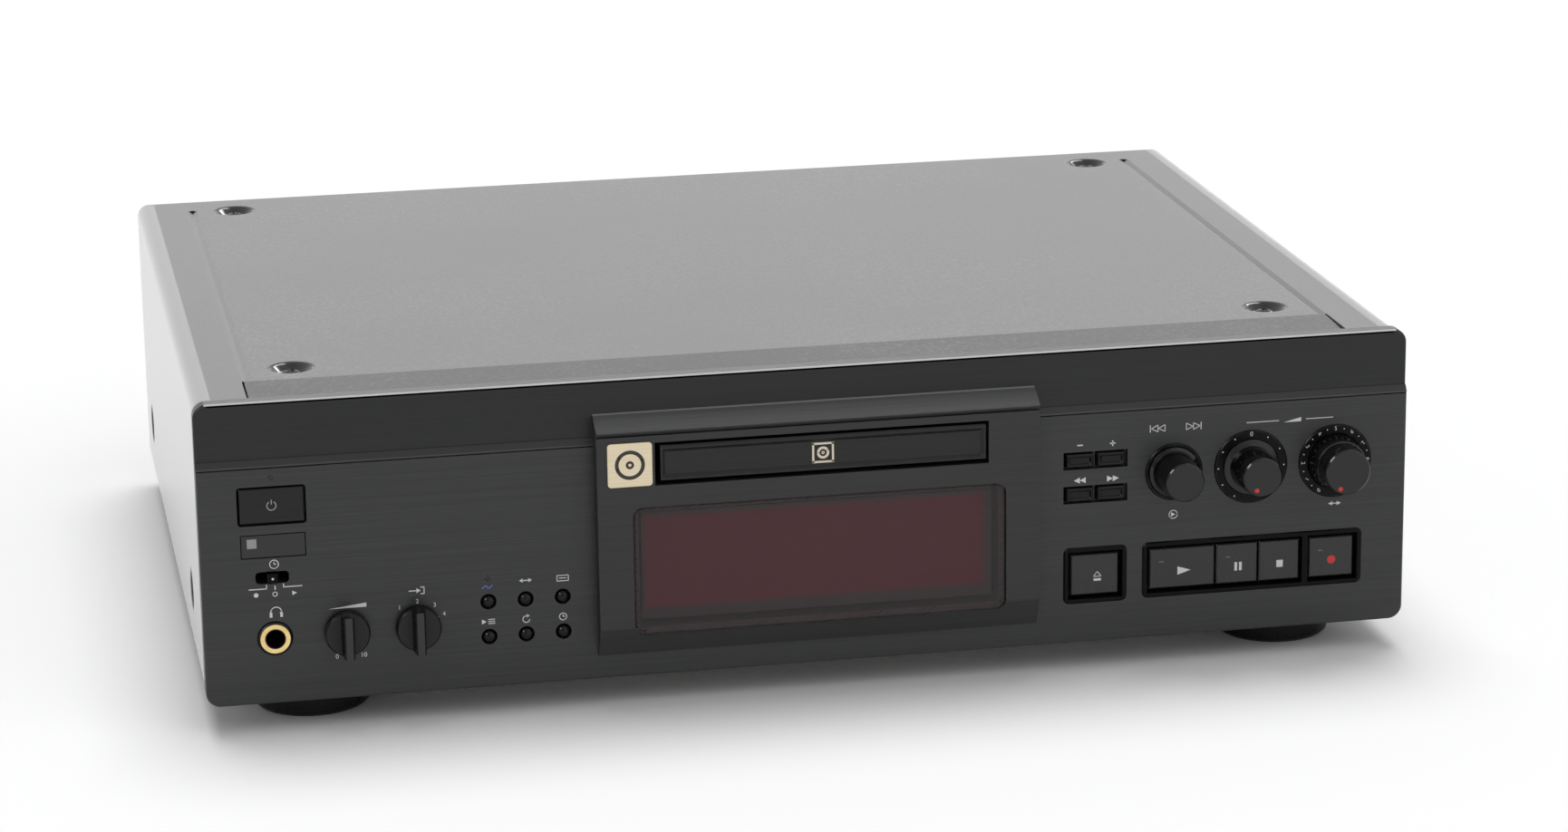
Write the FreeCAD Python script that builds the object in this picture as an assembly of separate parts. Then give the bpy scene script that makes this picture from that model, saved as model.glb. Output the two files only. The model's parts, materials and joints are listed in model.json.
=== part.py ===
import FreeCAD, Part
import math
import os

# A full-width minidisc deck: folded steel chassis and cover, aluminium fascia, motor-driven disc tray.
# The model is drawn in the fascia's frame, in millimetres: x to the right, y backwards from the face of
# the lower panel, z up from the fascia's lower edge. save() moves each piece to the part's own frame,
# whose origin is the middle of the footprint on the surface that the deck stands on.
# Names that end in _IN are distances inwards from the deck's side or its back.

V = FreeCAD.Vector

# ---- overall sizes and clearances ----
WIDTH = 430.0
FASCIA_HEIGHT = 107.5
FOOT_DROP = 10.5          # fascia's lower edge above the surface
BODY_DEPTH = 320.0        # face of the lower panel to the cover's back edge
KNOB_REACH = 15.8         # longest knob, in front of the lower panel
JACK_REACH = 8.0          # phono jacks, behind the cover's back edge
SHEET = 1.2               # steel sheet of the chassis and cover
GAP = 0.3                 # between pieces that slide past each other
RUNNING = 0.1             # between a shaft and its bore

# ---- fascia ----
PANEL_TOP = 84.6          # joint between the lower panel and the upper band
PANEL_THICK = 5.0
BAND_STEP = 1.8           # the band lies this far behind the lower panel's face
BAND_THICK = 5.5
CORNER_R = 5.0
JOINT_LINE = 0.4          # groove under the band, along the lower panel's top edge
JOINT_DEEP = 0.9
BEVEL_TALL = 2.5          # the band's sloping lower edge
BEVEL_FACE = 0.2          # its lowest line, behind the lower panel's face
EDGE_BREAK = 0.5
WEB_THICK = 2.2           # moulded web behind the fascia, inside the cover
FASCIA_DEPTH = BAND_STEP + BAND_THICK
FRAME_BACK = FASCIA_DEPTH + WEB_THICK

# ---- cover and chassis ----
COVER_BOTTOM = 5.0        # lower edge of the cover and of the chassis
COVER_SIDE_IN = 0.3
COVER_TOP_DROP = 1.3
COVER_FOLD_R = 4.6
GROOVE_IN = 21.4
GROOVE_WIDTH = 3.6
GROOVE_DEEP = 0.8
GROOVE_END_R = 1.1
GROOVE_BACK_IN = 16.5
STRIP_BACK = 34.0         # front strip of the cover, which slopes down to the fascia
STRIP_DROP = 1.0
GROOVE_FRONT = 34.5
SLIT_OUT = 1.6            # slit at the front strip's end, outwards from the groove's middle
SLIT_WIDTH = 0.8
SLIT_FRONT = 10.5
SLIT_BACK = 34.0
TOP_SCREW_IN = 38.0
TOP_SCREW_FRONT = 49.5
TOP_SCREW_BACK_IN = 19.0
SIDE_SCREW_FRONT = 61.0
SIDE_SCREW_BACK_IN = 35.0
SIDE_SCREW_Z = 23.9
DISH_R = 7.6              # pressed hollow round each screw, inside its rounded rim
DISH_DEEP = 2.9
DISH_FLOOR_R = 4.4
DISH_RIM_R = 2.0
DISH_BEND_R = 2.0
REAR_IN = 2.0             # rear panel, in front of the cover's back edge
FLANGE_TALL = 26.0        # side flanges of the chassis
VENT_COUNT = 6
VENT_PITCH = 12.0
VENT_WIDTH = 4.0
VENT_X = 112.0
VENT_FRONT = 130.0
VENT_LONG = 60.0

RIGHT = WIDTH / 2
COVER_HALF = RIGHT - COVER_SIDE_IN
COVER_TOP = FASCIA_HEIGHT - COVER_TOP_DROP
INNER_HALF = COVER_HALF - SHEET
INNER_TOP = COVER_TOP - SHEET
REAR_FACE = BODY_DEPTH - REAR_IN
FLOOR_TOP = COVER_BOTTOM + SHEET

# ---- feet ----
FOOT_IN = 39.0
FOOT_FRONT = 33.0
FOOT_BACK_IN = 48.0
FOOT_TOP_R = 22.5
FOOT_BASE_R = 20.5

# ---- display block ----
BLOCK_HALF = 78.5
BLOCK_FACE = -6.6
VISOR_NOSE = -7.2
VISOR_TOP = 95.5
VISOR_BASE = 90.2
VISOR_GROOVE = 1.4
BLOCK_BEVEL_TOP = 19.6
BLOCK_BOTTOM = 9.0
BLOCK_FOOT = -1.6         # the block's lower edge still stands this far in front of the panel
PLUG_HALF = 73.6          # the part of the block that goes through the panel
PLUG_BOTTOM = 14.2
PLUG_TOP = 91.8
PLUG_GAP = 0.2
SLOT_BOTTOM = 70.8
SLOT_TOP = 86.2
WINDOW_HALF = 66.0
WINDOW_BOTTOM = 16.8
WINDOW_TOP = 62.8
WINDOW_R = 3.6
WINDOW_FACE = -6.5
WINDOW_THICK = 2.6
VIEW_HALF = 64.0
VIEW_BOTTOM = 19.0
VIEW_TOP = 61.0
TUBE_THICK = 7.5
BADGE_X = -67.0
BADGE_Z = 78.9
BADGE_SIDE = 15.6
BADGE_THICK = 0.5

# ---- left-hand controls ----
COLUMN_IN = 25.2          # power button, remote window and timer switch
POWER_Z = 71.0
POWER_W = 23.6
POWER_H = 13.8
POWER_RIM = 0.7           # gap round the power button, in the panel
POWER_CORNER_R = 1.2
REMOTE_Z = 56.7
REMOTE_W = 22.4
REMOTE_H = 8.5
TIMER_Z = 45.4
TIMER_ASIDE = 0.8         # timer switch, to the left of the column's middle
TIMER_W = 11.5
TIMER_H = 4.3
TIMER_KNOB_W = 3.8
TIMER_REACH = 1.8
TIMER_STEP = 3.2          # from the middle position to either side
PHONES_IN = 24.5
PHONES_Z = 23.5
PHONES_R = 5.8
PHONES_PROUD = 1.0
PHONES_BORE_R = 3.2375
PHONES_BORE_LONG = 28.0
SMALL_KNOB_IN = (49.2, 73.8)
SMALL_KNOB_Z = 24.0
SMALL_KNOB_R = 7.8
SMALL_KNOB_REACH = 9.2
GRIP_WIDTH = 4.6
ROUND_IN = 111.5          # middle column of the six round buttons
ROUND_PITCH = 13.0
ROUND_Z = (31.1, 18.4)
ROUND_R = 2.1
ROUND_RIM = 0.7           # gap round each round button, in the panel
ROUND_PROUD = 0.6
ROUND_DOME = 0.9          # height of the button's domed end

# ---- right-hand controls ----
PAIR_FROM_BLOCK = 21.9    # small keys and tray key, from the display block's side
PAIR_W = 23.4
PAIR_H = 6.4
PAIR_DEEP = 2.4
PAIR_Z = (67.3, 54.8)
PAIR_KEY_W = 9.8
PAIR_KEY_H = 4.8
PAIR_KEY_OFFSET = 5.7
PAIR_PROUD = 0.3
PAIR_LIP = 0.7            # round the hollow in a small key's face
PAIR_INSET = 1.4          # round the hollow's floor
PAIR_HOLLOW = 0.4         # that floor, behind the panel's face
JOG_IN = 85.9
DIGITAL_IN = 57.6
ANALOG_IN = 26.4
DIAL_Z = 61.0
RING_R = 13.5
RING_BORE_R = 10.35
JOG_RING_R = 10.5
JOG_RING_BORE_R = 9.4
RING_PROUD = 0.5
SHAFT_R = 3.0
INNER_SHAFT_R = 1.8
SLEEVE_R = 3.4
REAR_KNOB_REACH = 8.2
EJECT_Z = 24.9
EJECT_W = 23.2
EJECT_H = 20.8
TRANSPORT_IN = 56.6
TRANSPORT_Z = 25.1
TRANSPORT_W = 81.4
TRANSPORT_H = 20.6
FUNNEL = 1.9              # width of the raised frame round the keys, at the foot of its sloping walls
FUNNEL_DEEP = 2.8
FUNNEL_LIP = 1.6
SURROUND_PROUD = 0.5
SURROUND_BEVEL = 0.5
SURROUND_R = 2.2
PLAY_W = 24.2
PAUSE_W = 15.3
STOP_W = 15.0
RECORD_W = 16.6
KEY_SPACE = 0.6
KEY_GAP = 0.9             # between a cap and its surround
KEY_FACE = 0.6            # key faces, behind the panel's face
KEY_BEVEL = 0.5
KEY_SHOULDER = 1.5        # a key's cap stands this far out past its body
DIVIDER_W = 2.0

COLUMN_X = COLUMN_IN - RIGHT
TIMER_X = COLUMN_X - TIMER_ASIDE
PHONES_X = PHONES_IN - RIGHT
SMALL_KNOB_X = [inset - RIGHT for inset in SMALL_KNOB_IN]
ROUND_X = ROUND_IN - RIGHT
PAIR_X = BLOCK_HALF + PAIR_FROM_BLOCK
JOG_X = RIGHT - JOG_IN
DIGITAL_X = RIGHT - DIGITAL_IN
ANALOG_X = RIGHT - ANALOG_IN
TRANSPORT_X = RIGHT - TRANSPORT_IN

# ---- travel of the buttons, and the boards behind them ----
KEY_TRAVEL = 2.0
POWER_TRAVEL = 3.0
JOG_TRAVEL = 1.5
KEY_FLANGE = 1.0
FLANGE_REACH = 0.4        # a flange stands this far out past the hole in front of it
STEM_SIDE = 3.0
STEM_END = 15.0
BOARD_FACE = 22.0
BOARD_THICK = 1.6
POT_FACE = 14.0
POT_SIDE = 12.0
SWITCH_SIDE = 6.0

# ---- tray ----
TRAY_FACE = -5.6
SLOT_GAP = 1.4            # above and below the tray's front, in its slot
SLOT_END_GAP = 0.8        # between the right end of the tray's front and the slot
TRAY_FRONT_X = 1.6        # middle of the tray's front
TRAY_FRONT_THICK = 5.0
TRAY_FRONT_SLOPE = 0.8
TRAY_FRONT_LIP = 0.5      # round the hollow in the tray's front
TRAY_FRONT_INSET = 1.9    # round the hollow's floor
TRAY_FRONT_HOLLOW = 1.3
TRAY_HALF = 55.5
TRAY_FRONT_OUT = 2.2      # the front bar stands this far out past the tray's sides
TRAY_THICK = 8.0
TRAY_BACK = 128.0
TRAY_OPENING = 88.0       # rounded to whole turns of the rack's teeth, see tray_travel()
RUNNER_OUT = 2.4
RUNNER_UP = 2.2
RUNNER_TALL = 2.5
DISC_W = 72.0
DISC_D = 68.0
DISC_T = 5.0
WELL_CLEAR = 0.5
WELL_FRONT = 8.0
NOTCH_R = 11.0
CHANNEL_HALF = 13.0       # groove under the tray that the raised turntable runs along
CHANNEL_DEEP = 3.6
TAIL_HALF = 30.0          # the tray's tail is cut out between two arms
TAIL_FRONT = 100.0

# ---- loading drive ----
MODULE = 1.0
ADDENDUM = 0.8 * MODULE
DEDENDUM = 1.2 * MODULE
BACKLASH = 0.3
PRESSURE = math.radians(20.0)
PINION_TEETH = 14
WHEEL_TEETH = 30
SMALL_TEETH = 12
RACK_IN = 11.5            # pitch line of the rack, in from the tray's side
RACK_WIDTH = 4.0
RACK_TALL = 2.6
RACK_CLEAR = 1.4          # under the rack, in the tray slot
AXLE_Y = 34.0
AXLE_R = 1.5
HUB_R = 3.3
WHEEL_THICK = 2.4
WHEEL_DROP = 1.4          # top of the wheel, below the rack
PULLEY_R = 12.0
PULLEY_FLANGE_R = 13.2
MOTOR_PULLEY_R = 3.2
MOTOR_PULLEY_FLANGE_R = 4.4
MOTOR_SHAFT_R = 1.0
PULLEY_TALL = 4.2
PULLEY_LIP = 0.6
PULLEY_DROP = 2.6         # top of the pulley, below the wheel
BELT_THICK = 0.8
BELT_SIDE_GAP = 0.2
MOTOR_R = 10.0
MOTOR_TALL = 18.0
MOTOR_Y = 88.0

PITCH = math.pi * MODULE
TRAY_FRONT_LEFT = TRAY_FRONT_X - TRAY_HALF - TRAY_FRONT_OUT
TRAY_FRONT_RIGHT = TRAY_FRONT_X + TRAY_HALF + TRAY_FRONT_OUT
TRAY_FRONT_BOTTOM = SLOT_BOTTOM + SLOT_GAP
TRAY_FRONT_TOP = SLOT_TOP - SLOT_GAP
SLOT_LEFT = -TRAY_HALF - RUNNER_OUT - GAP
SLOT_RIGHT = TRAY_FRONT_RIGHT + SLOT_END_GAP
TRAY_BOTTOM = SLOT_BOTTOM + RACK_CLEAR + RACK_TALL
TRAY_TOP = TRAY_BOTTOM + TRAY_THICK
WELL_FLOOR = TRAY_TOP - DISC_T - 0.2
RACK_X = TRAY_HALF - RACK_IN
RACK_BOTTOM = TRAY_BOTTOM - RACK_TALL
WHEEL_Z = RACK_BOTTOM - WHEEL_DROP - WHEEL_THICK
PULLEY_Z = WHEEL_Z - PULLEY_DROP - PULLEY_TALL
AXLE_X = RACK_X - MODULE * PINION_TEETH / 2
SECOND_AXLE_Y = AXLE_Y + MODULE * (WHEEL_TEETH + SMALL_TEETH) / 2
MOTOR_X = AXLE_X + 9.0

# ---- mechanism frame ----
DECK_DROP = 3.6           # top of the frame's floor, below the pulley
DECK_THICK = 2.0
WALL_THICK = 4.0
WALL_GAP = 0.7            # between the tray's side and the wall
WALL_OVER = 2.2           # top of the walls, above the tray
FRAME_FRONT = 12.0
FRAME_END = 134.0
BRIDGE_FRONT = 96.0
BRIDGE_LONG = 34.0
LEG = 8.0
LEG_IN = 2.0

DECK_TOP = PULLEY_Z - DECK_DROP
DECK_BOTTOM = DECK_TOP - DECK_THICK
WALL_INNER = TRAY_HALF + WALL_GAP
WALL_OUTER = WALL_INNER + WALL_THICK
WALL_TOP = TRAY_TOP + WALL_OVER

# ---- disc drive unit ----
DRIVE_CLEAR = 2.8         # between the drive unit and the pulley beside it
DRIVE_FRONT = 30.0
DRIVE_END = 96.0
DRIVE_THICK = 2.4
DRIVE_LIFT = 5.0
DRIVE_HOLE_IN = 4.0
SPINDLE_R = 10.0
SPINDLE_DROP = 4.6        # top of the spindle motor, below the tray
TABLE_R = 10.0
TABLE_THICK = 1.3
NOSE_R = 4.5
NOSE_TALL = 1.0
ROD_IN = 4.0              # guide rods, in from the base's sides
ROD_R = 1.5
ROD_UP = 3.2
ROD_END = 90.0
ROD_BLOCK = 3.0
SLED_DEPTH = 15.0
SLED_GAP = 0.5            # between the sled and the rods' front blocks, at rest
SLED_TRAVEL = 14.0
LENS_R = 3.0
LENS_IN = 3.5             # lens, in from the sled's front

SPINDLE_Y = WELL_FRONT + WELL_CLEAR + DISC_D / 2
DRIVE_HALF = AXLE_X - PULLEY_FLANGE_R - DRIVE_CLEAR
ROD_X = DRIVE_HALF - ROD_IN
ROD_FRONT = SPINDLE_Y + SPINDLE_R
SLED_FRONT = ROD_FRONT + ROD_BLOCK + SLED_GAP
BASE_Z = DECK_TOP + GAP
BASE_TOP = BASE_Z + DRIVE_THICK
ROD_Z = BASE_TOP + ROD_UP

# ---- inside and rear ----
BOARD_LIFT = 6.0          # circuit boards above the chassis floor
TAB_SIDE = 6.0
POWER_BOARD_IN = 9.0
POWER_BOARD_W = 114.0
POWER_BOARD_FRONT = 62.0
MAIN_BOARD_LEFT = -78.0
MAIN_BOARD_IN = 11.0
BOARD_SPACE = 18.0
MAIN_CHIPS = ((0.35, 26.0), (0.53, 20.0), (0.75, 24.0))   # part of the way along the board, and side
CHIP_TALL = 3.0
CAN_SIDE = 34.0
CAN_TALL = 12.0
CORE_W = 64.0
CORE_D = 40.0
CORE_H = 54.0
COIL_W = 40.0
COIL_D = 64.0
COIL_IN = 9.0             # the winding's ends, in from the core's top and bottom
CORE_IN = 55.0
CORE_BACK_IN = 68.0
PHONO_R = 4.15
PHONO_BORE_R = 1.7
PHONO_Z = (34.0, 52.0)
PHONO_X = (-62.0, -32.0)
COAX_X = 0.0
PLATE_SIDE = 14.0
OPTICAL_X = (40.0, 62.0, 84.0)
OPTICAL_Z = 36.0
OPTICAL_W = 14.0
OPTICAL_H = 13.0
OPTICAL_HOLE_W = 9.6
OPTICAL_HOLE_H = 8.6
OPTICAL_DEEP = 9.0
INLET_IN = 55.0
INLET_Z = 36.0
INLET_W = 27.0
INLET_H = 17.0
INLET_HOLE_W = 15.6
INLET_HOLE_H = 8.2
INLET_DEEP = 12.0
INLET_PIN_R = 1.2
INLET_PIN_PITCH = 8.6
SOCKET_FLANGE = 1.2
SOCKET_LIP = 1.1          # a socket's flange stands this far out past its body

CORE_X = CORE_IN - RIGHT
CORE_Y = REAR_FACE - CORE_BACK_IN
INLET_X = INLET_IN - RIGHT
FRONT_Y = KNOB_REACH - (KNOB_REACH + BODY_DEPTH + JACK_REACH) / 2


# ---- shapes ----

def box(x0, x1, y0, y1, z0, z1):
    return Part.makeBox(x1 - x0, y1 - y0, z1 - z0, V(x0, y0, z0))


def mirrored_boxes(x0, x1, y0, y1, z0, z1):
    """A box on the right, from x0 out to x1, and its mirror image on the left."""
    return [box(x0, x1, y0, y1, z0, z1), box(-x1, -x0, y0, y1, z0, z1)]


def centred(x, z, width, height, y0, y1, radius=0.0):
    """A plate that faces forwards, with its four corners rounded."""
    plate = box(x - width / 2, x + width / 2, y0, y1, z - height / 2, z + height / 2)
    return plate.makeFillet(radius, along(plate, V(0, 1, 0))) if radius > 0 else plate


def spanned(x0, x1, z0, z1, y0, y1, radius=0.0):
    return centred((x0 + x1) / 2, (z0 + z1) / 2, x1 - x0, z1 - z0, y0, y1, radius)


def along(solid, direction):
    """The straight edges of a solid that run along a direction."""
    straight = [e for e in solid.Edges if e.Curve.TypeId == "Part::GeomLine"]
    return [e for e in straight if abs(e.tangentAt(e.FirstParameter).dot(direction)) > 0.999]


def edges_at(solid, y):
    """The edges of a solid that lie wholly in the plane at depth y."""
    return [e for e in solid.Edges if abs(e.BoundBox.YMin - y) < 1e-4 and abs(e.BoundBox.YMax - y) < 1e-4]


def circles(solid, radius):
    """The circular edges of a solid with this radius."""
    round_edges = [e for e in solid.Edges if e.Curve.TypeId == "Part::GeomCircle"]
    return [e for e in round_edges if abs(e.Curve.Radius - radius) < 1e-4]


def rod(x, z, radius, y0, y1):
    """A cylinder that runs front to back."""
    return Part.makeCylinder(radius, y1 - y0, V(x, y0, z), V(0, 1, 0))


def post(x, y, radius, z0, z1):
    """An upright cylinder."""
    return Part.makeCylinder(radius, z1 - z0, V(x, y, z0), V(0, 0, 1))


def prism(points, direction):
    """A straight prism on a closed outline."""
    outline = [V(*p) for p in points]
    face = Part.Face(Part.makePolygon(outline + outline[:1]))
    return face.extrude(V(*direction))


def cross_prism(outline, half):
    """A prism that runs from side to side; the outline is (depth, height) pairs."""
    return prism([(-half, y, z) for y, z in outline], (2 * half, 0, 0))


def turned(x, z, outline):
    """A solid turned about an axis that runs front to back; the outline is (depth, radius) pairs."""
    points = [V(radius, y, 0) for y, radius in outline]
    solid = Part.Face(Part.makePolygon(points + points[:1])).revolve(V(0, 0, 0), V(0, 1, 0), 360)
    solid.translate(V(x, 0, z))
    return solid


def turned_up(x, y, outline):
    """A solid turned about an upright axis; the outline is (height, radius) pairs."""
    points = [V(radius, 0, z) for z, radius in outline]
    solid = Part.Face(Part.makePolygon(points + points[:1])).revolve(V(0, 0, 0), V(0, 0, 1), 360)
    solid.translate(V(x, y, 0))
    return solid


def joined(solids):
    return solids[0].fuse(solids[1:]).removeSplitter()


def group(solids):
    """Several solids that make one node, such as the four feet."""
    return Part.makeCompound(solids)


# ---- gear teeth ----

def involute(angle):
    return math.tan(angle) - angle


def half_tooth(teeth, radius):
    """Half the angle that a tooth takes up at a radius."""
    pitch_r = MODULE * teeth / 2
    base_r = pitch_r * math.cos(PRESSURE)
    thickness = (PITCH - BACKLASH) / 2
    angle = math.acos(base_r / max(radius, base_r))
    return thickness / (2 * pitch_r) + involute(PRESSURE) - involute(angle)


def gear(x, y, teeth, z0, z1, first_tooth):
    """A spur gear about an upright axis, with one tooth centred on the angle first_tooth."""
    root_r, tip_r = MODULE * teeth / 2 - DEDENDUM, MODULE * teeth / 2 + ADDENDUM
    root, tip = half_tooth(teeth, root_r), half_tooth(teeth, tip_r)
    outline = []
    for tooth in range(teeth):
        centre = first_tooth + 2 * math.pi * tooth / teeth
        for radius, angle in ((root_r, -root), (tip_r, -tip), (tip_r, tip), (root_r, root)):
            outline.append((x + radius * math.cos(centre + angle), y + radius * math.sin(centre + angle), z0))
    return prism(outline, (0, 0, z1 - z0))


def rack():
    """The tray's rack: teeth that face the middle, with a gap level with the pinion's axle at rest."""
    rise = math.tan(PRESSURE)
    half = (PITCH - BACKLASH) / 4
    tip, root = RACK_X - ADDENDUM, RACK_X + DEDENDUM
    tip_half, root_half = half - ADDENDUM * rise, half + DEDENDUM * rise
    first = -math.floor((AXLE_Y - WELL_FRONT) / PITCH)
    last = math.floor((TRAY_BACK - AXLE_Y) / PITCH) - 1
    centres = [AXLE_Y + (tooth + 0.5) * PITCH for tooth in range(first, last + 1)]
    outline = [(root + RACK_WIDTH, centres[0] - PITCH / 2), (root, centres[0] - PITCH / 2)]
    for y in centres:
        outline += [(root, y - root_half), (tip, y - tip_half), (tip, y + tip_half), (root, y + root_half)]
    outline += [(root, centres[-1] + PITCH / 2), (root + RACK_WIDTH, centres[-1] + PITCH / 2)]
    return prism([(x, y, RACK_BOTTOM) for x, y in outline], (0, 0, RACK_TALL))


def tray_travel():
    """The tray's opening, as a multiple of four pitches of its rack."""
    step = 4 * PITCH
    return step * round(TRAY_OPENING / step)


# ---- places of the controls ----

def round_places():
    return [(ROUND_X + column * ROUND_PITCH, z) for z in ROUND_Z for column in (-1, 0, 1)]


def pair_places():
    return [(PAIR_X + side * PAIR_KEY_OFFSET, z) for z in PAIR_Z for side in (-1, 1)]


def power_key(opening):
    """The power button's width or height in its opening."""
    return opening - 2 * POWER_RIM


def inside_funnel(outer):
    """The width or height left inside a sloping frame."""
    return outer - 2 * FUNNEL


def key_spans():
    """Each key's name with its left and right edges, and the height of its cap's middle and of its frame."""
    spans = {}
    left = TRANSPORT_X - inside_funnel(TRANSPORT_W) / 2 + KEY_GAP
    for name, width in (("play", PLAY_W), ("pause", PAUSE_W), ("stop", STOP_W)):
        spans[name] = (left, left + width, TRANSPORT_Z, inside_funnel(TRANSPORT_H))
        left += width + KEY_SPACE
    right = TRANSPORT_X + inside_funnel(TRANSPORT_W) / 2 - KEY_GAP
    spans["record"] = (right - RECORD_W, right, TRANSPORT_Z, inside_funnel(TRANSPORT_H))
    half = inside_funnel(EJECT_W) / 2 - KEY_GAP
    spans["eject"] = (PAIR_X - half, PAIR_X + half, EJECT_Z, inside_funnel(EJECT_H))
    return spans


def shaft_holes():
    """Each knob's place and the radius of its hole."""
    holes = [(x, SMALL_KNOB_Z, SHAFT_R + GAP) for x in SMALL_KNOB_X]
    holes += [(x, DIAL_Z, SHAFT_R + GAP) for x in (JOG_X, DIGITAL_X)]
    return holes + [(ANALOG_X, DIAL_Z, SLEEVE_R + GAP)]


# ---- fascia ----

def fascia_plate(z0, z1, y0, y1, rounded_z):
    """A full-width plate whose two corners at the height rounded_z are rounded."""
    plate = box(-RIGHT, RIGHT, y0, y1, z0, z1)
    corners = [e for e in along(plate, V(0, 1, 0)) if abs(e.BoundBox.ZMin - rounded_z) < 1e-4]
    return plate.makeFillet(CORNER_R, corners)


def plug_opening(y0, y1):
    """The opening that the display block goes through."""
    half = PLUG_HALF + PLUG_GAP
    return spanned(-half, half, PLUG_BOTTOM - PLUG_GAP, PLUG_TOP + PLUG_GAP, y0, y1)


def lower_panel():
    plate = fascia_plate(0, PANEL_TOP, 0, PANEL_THICK, 0)
    plate = plate.makeChamfer(EDGE_BREAK, [e for e in edges_at(plate, 0) if e.BoundBox.ZMin < PANEL_TOP - 1])
    front, back = -1, PANEL_THICK + 1
    cutters = [
        box(-RIGHT, RIGHT, front, JOINT_DEEP, PANEL_TOP - JOINT_LINE, PANEL_TOP + 1),
        plug_opening(front, back),
        centred(COLUMN_X, POWER_Z, POWER_W, POWER_H, front, back, POWER_CORNER_R),
        centred(COLUMN_X, REMOTE_Z, REMOTE_W, REMOTE_H, front, back),
        centred(TIMER_X, TIMER_Z, TIMER_W, TIMER_H, front, back, TIMER_H / 3),
        rod(PHONES_X, PHONES_Z, PHONES_R + GAP, front, back),
        rod(JOG_X, DIAL_Z, JOG_RING_R, front, back),
        rod(DIGITAL_X, DIAL_Z, RING_R, front, back),
        rod(ANALOG_X, DIAL_Z, RING_R, front, back),
        centred(PAIR_X, EJECT_Z, EJECT_W, EJECT_H, front, back, SURROUND_R),
        centred(TRANSPORT_X, TRANSPORT_Z, TRANSPORT_W, TRANSPORT_H, front, back, SURROUND_R),
    ]
    cutters += [rod(x, SMALL_KNOB_Z, SHAFT_R + GAP, front, back) for x in SMALL_KNOB_X]
    cutters += [rod(x, z, ROUND_R + ROUND_RIM, front, back) for x, z in round_places()]
    cutters += [centred(PAIR_X, z, PAIR_W, PAIR_H, front, PAIR_DEEP) for z in PAIR_Z]
    cutters += [pair_hole(x, z, front, back) for x, z in pair_places()]
    return plate.cut(cutters)


def pair_hole(x, z, y0, y1):
    return centred(x, z, PAIR_KEY_W + 2 * GAP, PAIR_KEY_H + 2 * GAP, y0, y1)


def upper_band():
    plate = fascia_plate(PANEL_TOP, FASCIA_HEIGHT, BAND_STEP, FASCIA_DEPTH, FASCIA_HEIGHT)
    rim = [e for e in edges_at(plate, BAND_STEP) if e.BoundBox.ZMax > PANEL_TOP + 1]
    inside, top = BAND_STEP + EDGE_BREAK, PANEL_TOP + BEVEL_TALL
    bevel = cross_prism([(BEVEL_FACE, PANEL_TOP), (inside, PANEL_TOP), (inside, top), (BAND_STEP, top)], RIGHT)
    return joined([plate.makeChamfer(EDGE_BREAK, rim), bevel]).cut(plug_opening(0, FASCIA_DEPTH + 1))


def front_frame():
    """The moulded frame that closes the fascia's back, holds it to the chassis and guides every button."""
    rim = fascia_plate(0, PANEL_TOP, PANEL_THICK, FASCIA_DEPTH, 0)
    web_top = INNER_TOP - COVER_FOLD_R + SHEET
    web = spanned(-INNER_HALF, INNER_HALF, FLOOR_TOP, web_top, FASCIA_DEPTH, FRAME_BACK)
    front, back = PANEL_THICK - 1, FRAME_BACK + 1
    cutters = [
        plug_opening(front, back),
        centred(COLUMN_X, POWER_Z, power_key(POWER_W) + 2 * GAP, power_key(POWER_H) + 2 * GAP, front, back),
        centred(TIMER_X, TIMER_Z, TIMER_W, TIMER_H, front, back),
        rod(PHONES_X, PHONES_Z, PHONES_R + GAP, front, back),
    ]
    cutters += [rod(x, z, radius, front, back) for x, z, radius in shaft_holes()]
    cutters += [pair_hole(x, z, front, back) for x, z in pair_places()]
    row_half = ROUND_PITCH + ROUND_R + GAP
    cutters += [centred(ROUND_X, z, 2 * row_half, 2 * (ROUND_R + GAP), front, back) for z in ROUND_Z]
    for left, right, z, height in key_spans().values():
        narrow = 2 * (KEY_SHOULDER - GAP)
        cutters.append(centred((left + right) / 2, z, right - left - narrow, height - 2 * KEY_GAP - narrow,
                               front, back))
    return rim.fuse(web).cut(cutters)


def sloping_hollow(x, z, width, height, front, lip, inset, back):
    """A hollow in a face, whose walls slope in: lip is the rim's width at the front, inset that at the back."""
    wires = []
    for y, rim in ((front, lip), (back, inset)):
        w, h = width / 2 - rim, height / 2 - rim
        corners = [V(x + sx * w, y, z + sz * h) for sx, sz in ((-1, -1), (1, -1), (1, 1), (-1, 1))]
        wires.append(Part.makePolygon(corners + corners[:1]))
    return Part.makeLoft(wires, True, True)


def surround(x, z, width, height):
    """A raised frame in the panel whose walls slope in towards the keys."""
    frame = centred(x, z, width, height, -SURROUND_PROUD, PANEL_THICK, SURROUND_R)
    frame = frame.makeChamfer(SURROUND_BEVEL, edges_at(frame, -SURROUND_PROUD))
    slope = sloping_hollow(x, z, width, height, -SURROUND_PROUD - 0.1, FUNNEL_LIP, FUNNEL, FUNNEL_DEEP)
    well = centred(x, z, inside_funnel(width), inside_funnel(height), FUNNEL_DEEP - 0.01, PANEL_THICK + 1)
    return frame.cut([slope, well])


def button_surrounds():
    """The frames round the transport keys, with a wall before the record key, and round the tray key."""
    spans = key_spans()
    middle = (spans["stop"][1] + spans["record"][0]) / 2
    wall = centred(middle, TRANSPORT_Z, DIVIDER_W, TRANSPORT_H - 2, -SURROUND_PROUD, PANEL_THICK)
    transport = surround(TRANSPORT_X, TRANSPORT_Z, TRANSPORT_W, TRANSPORT_H).fuse(wall)
    return group([transport, surround(PAIR_X, EJECT_Z, EJECT_W, EJECT_H)])


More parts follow.
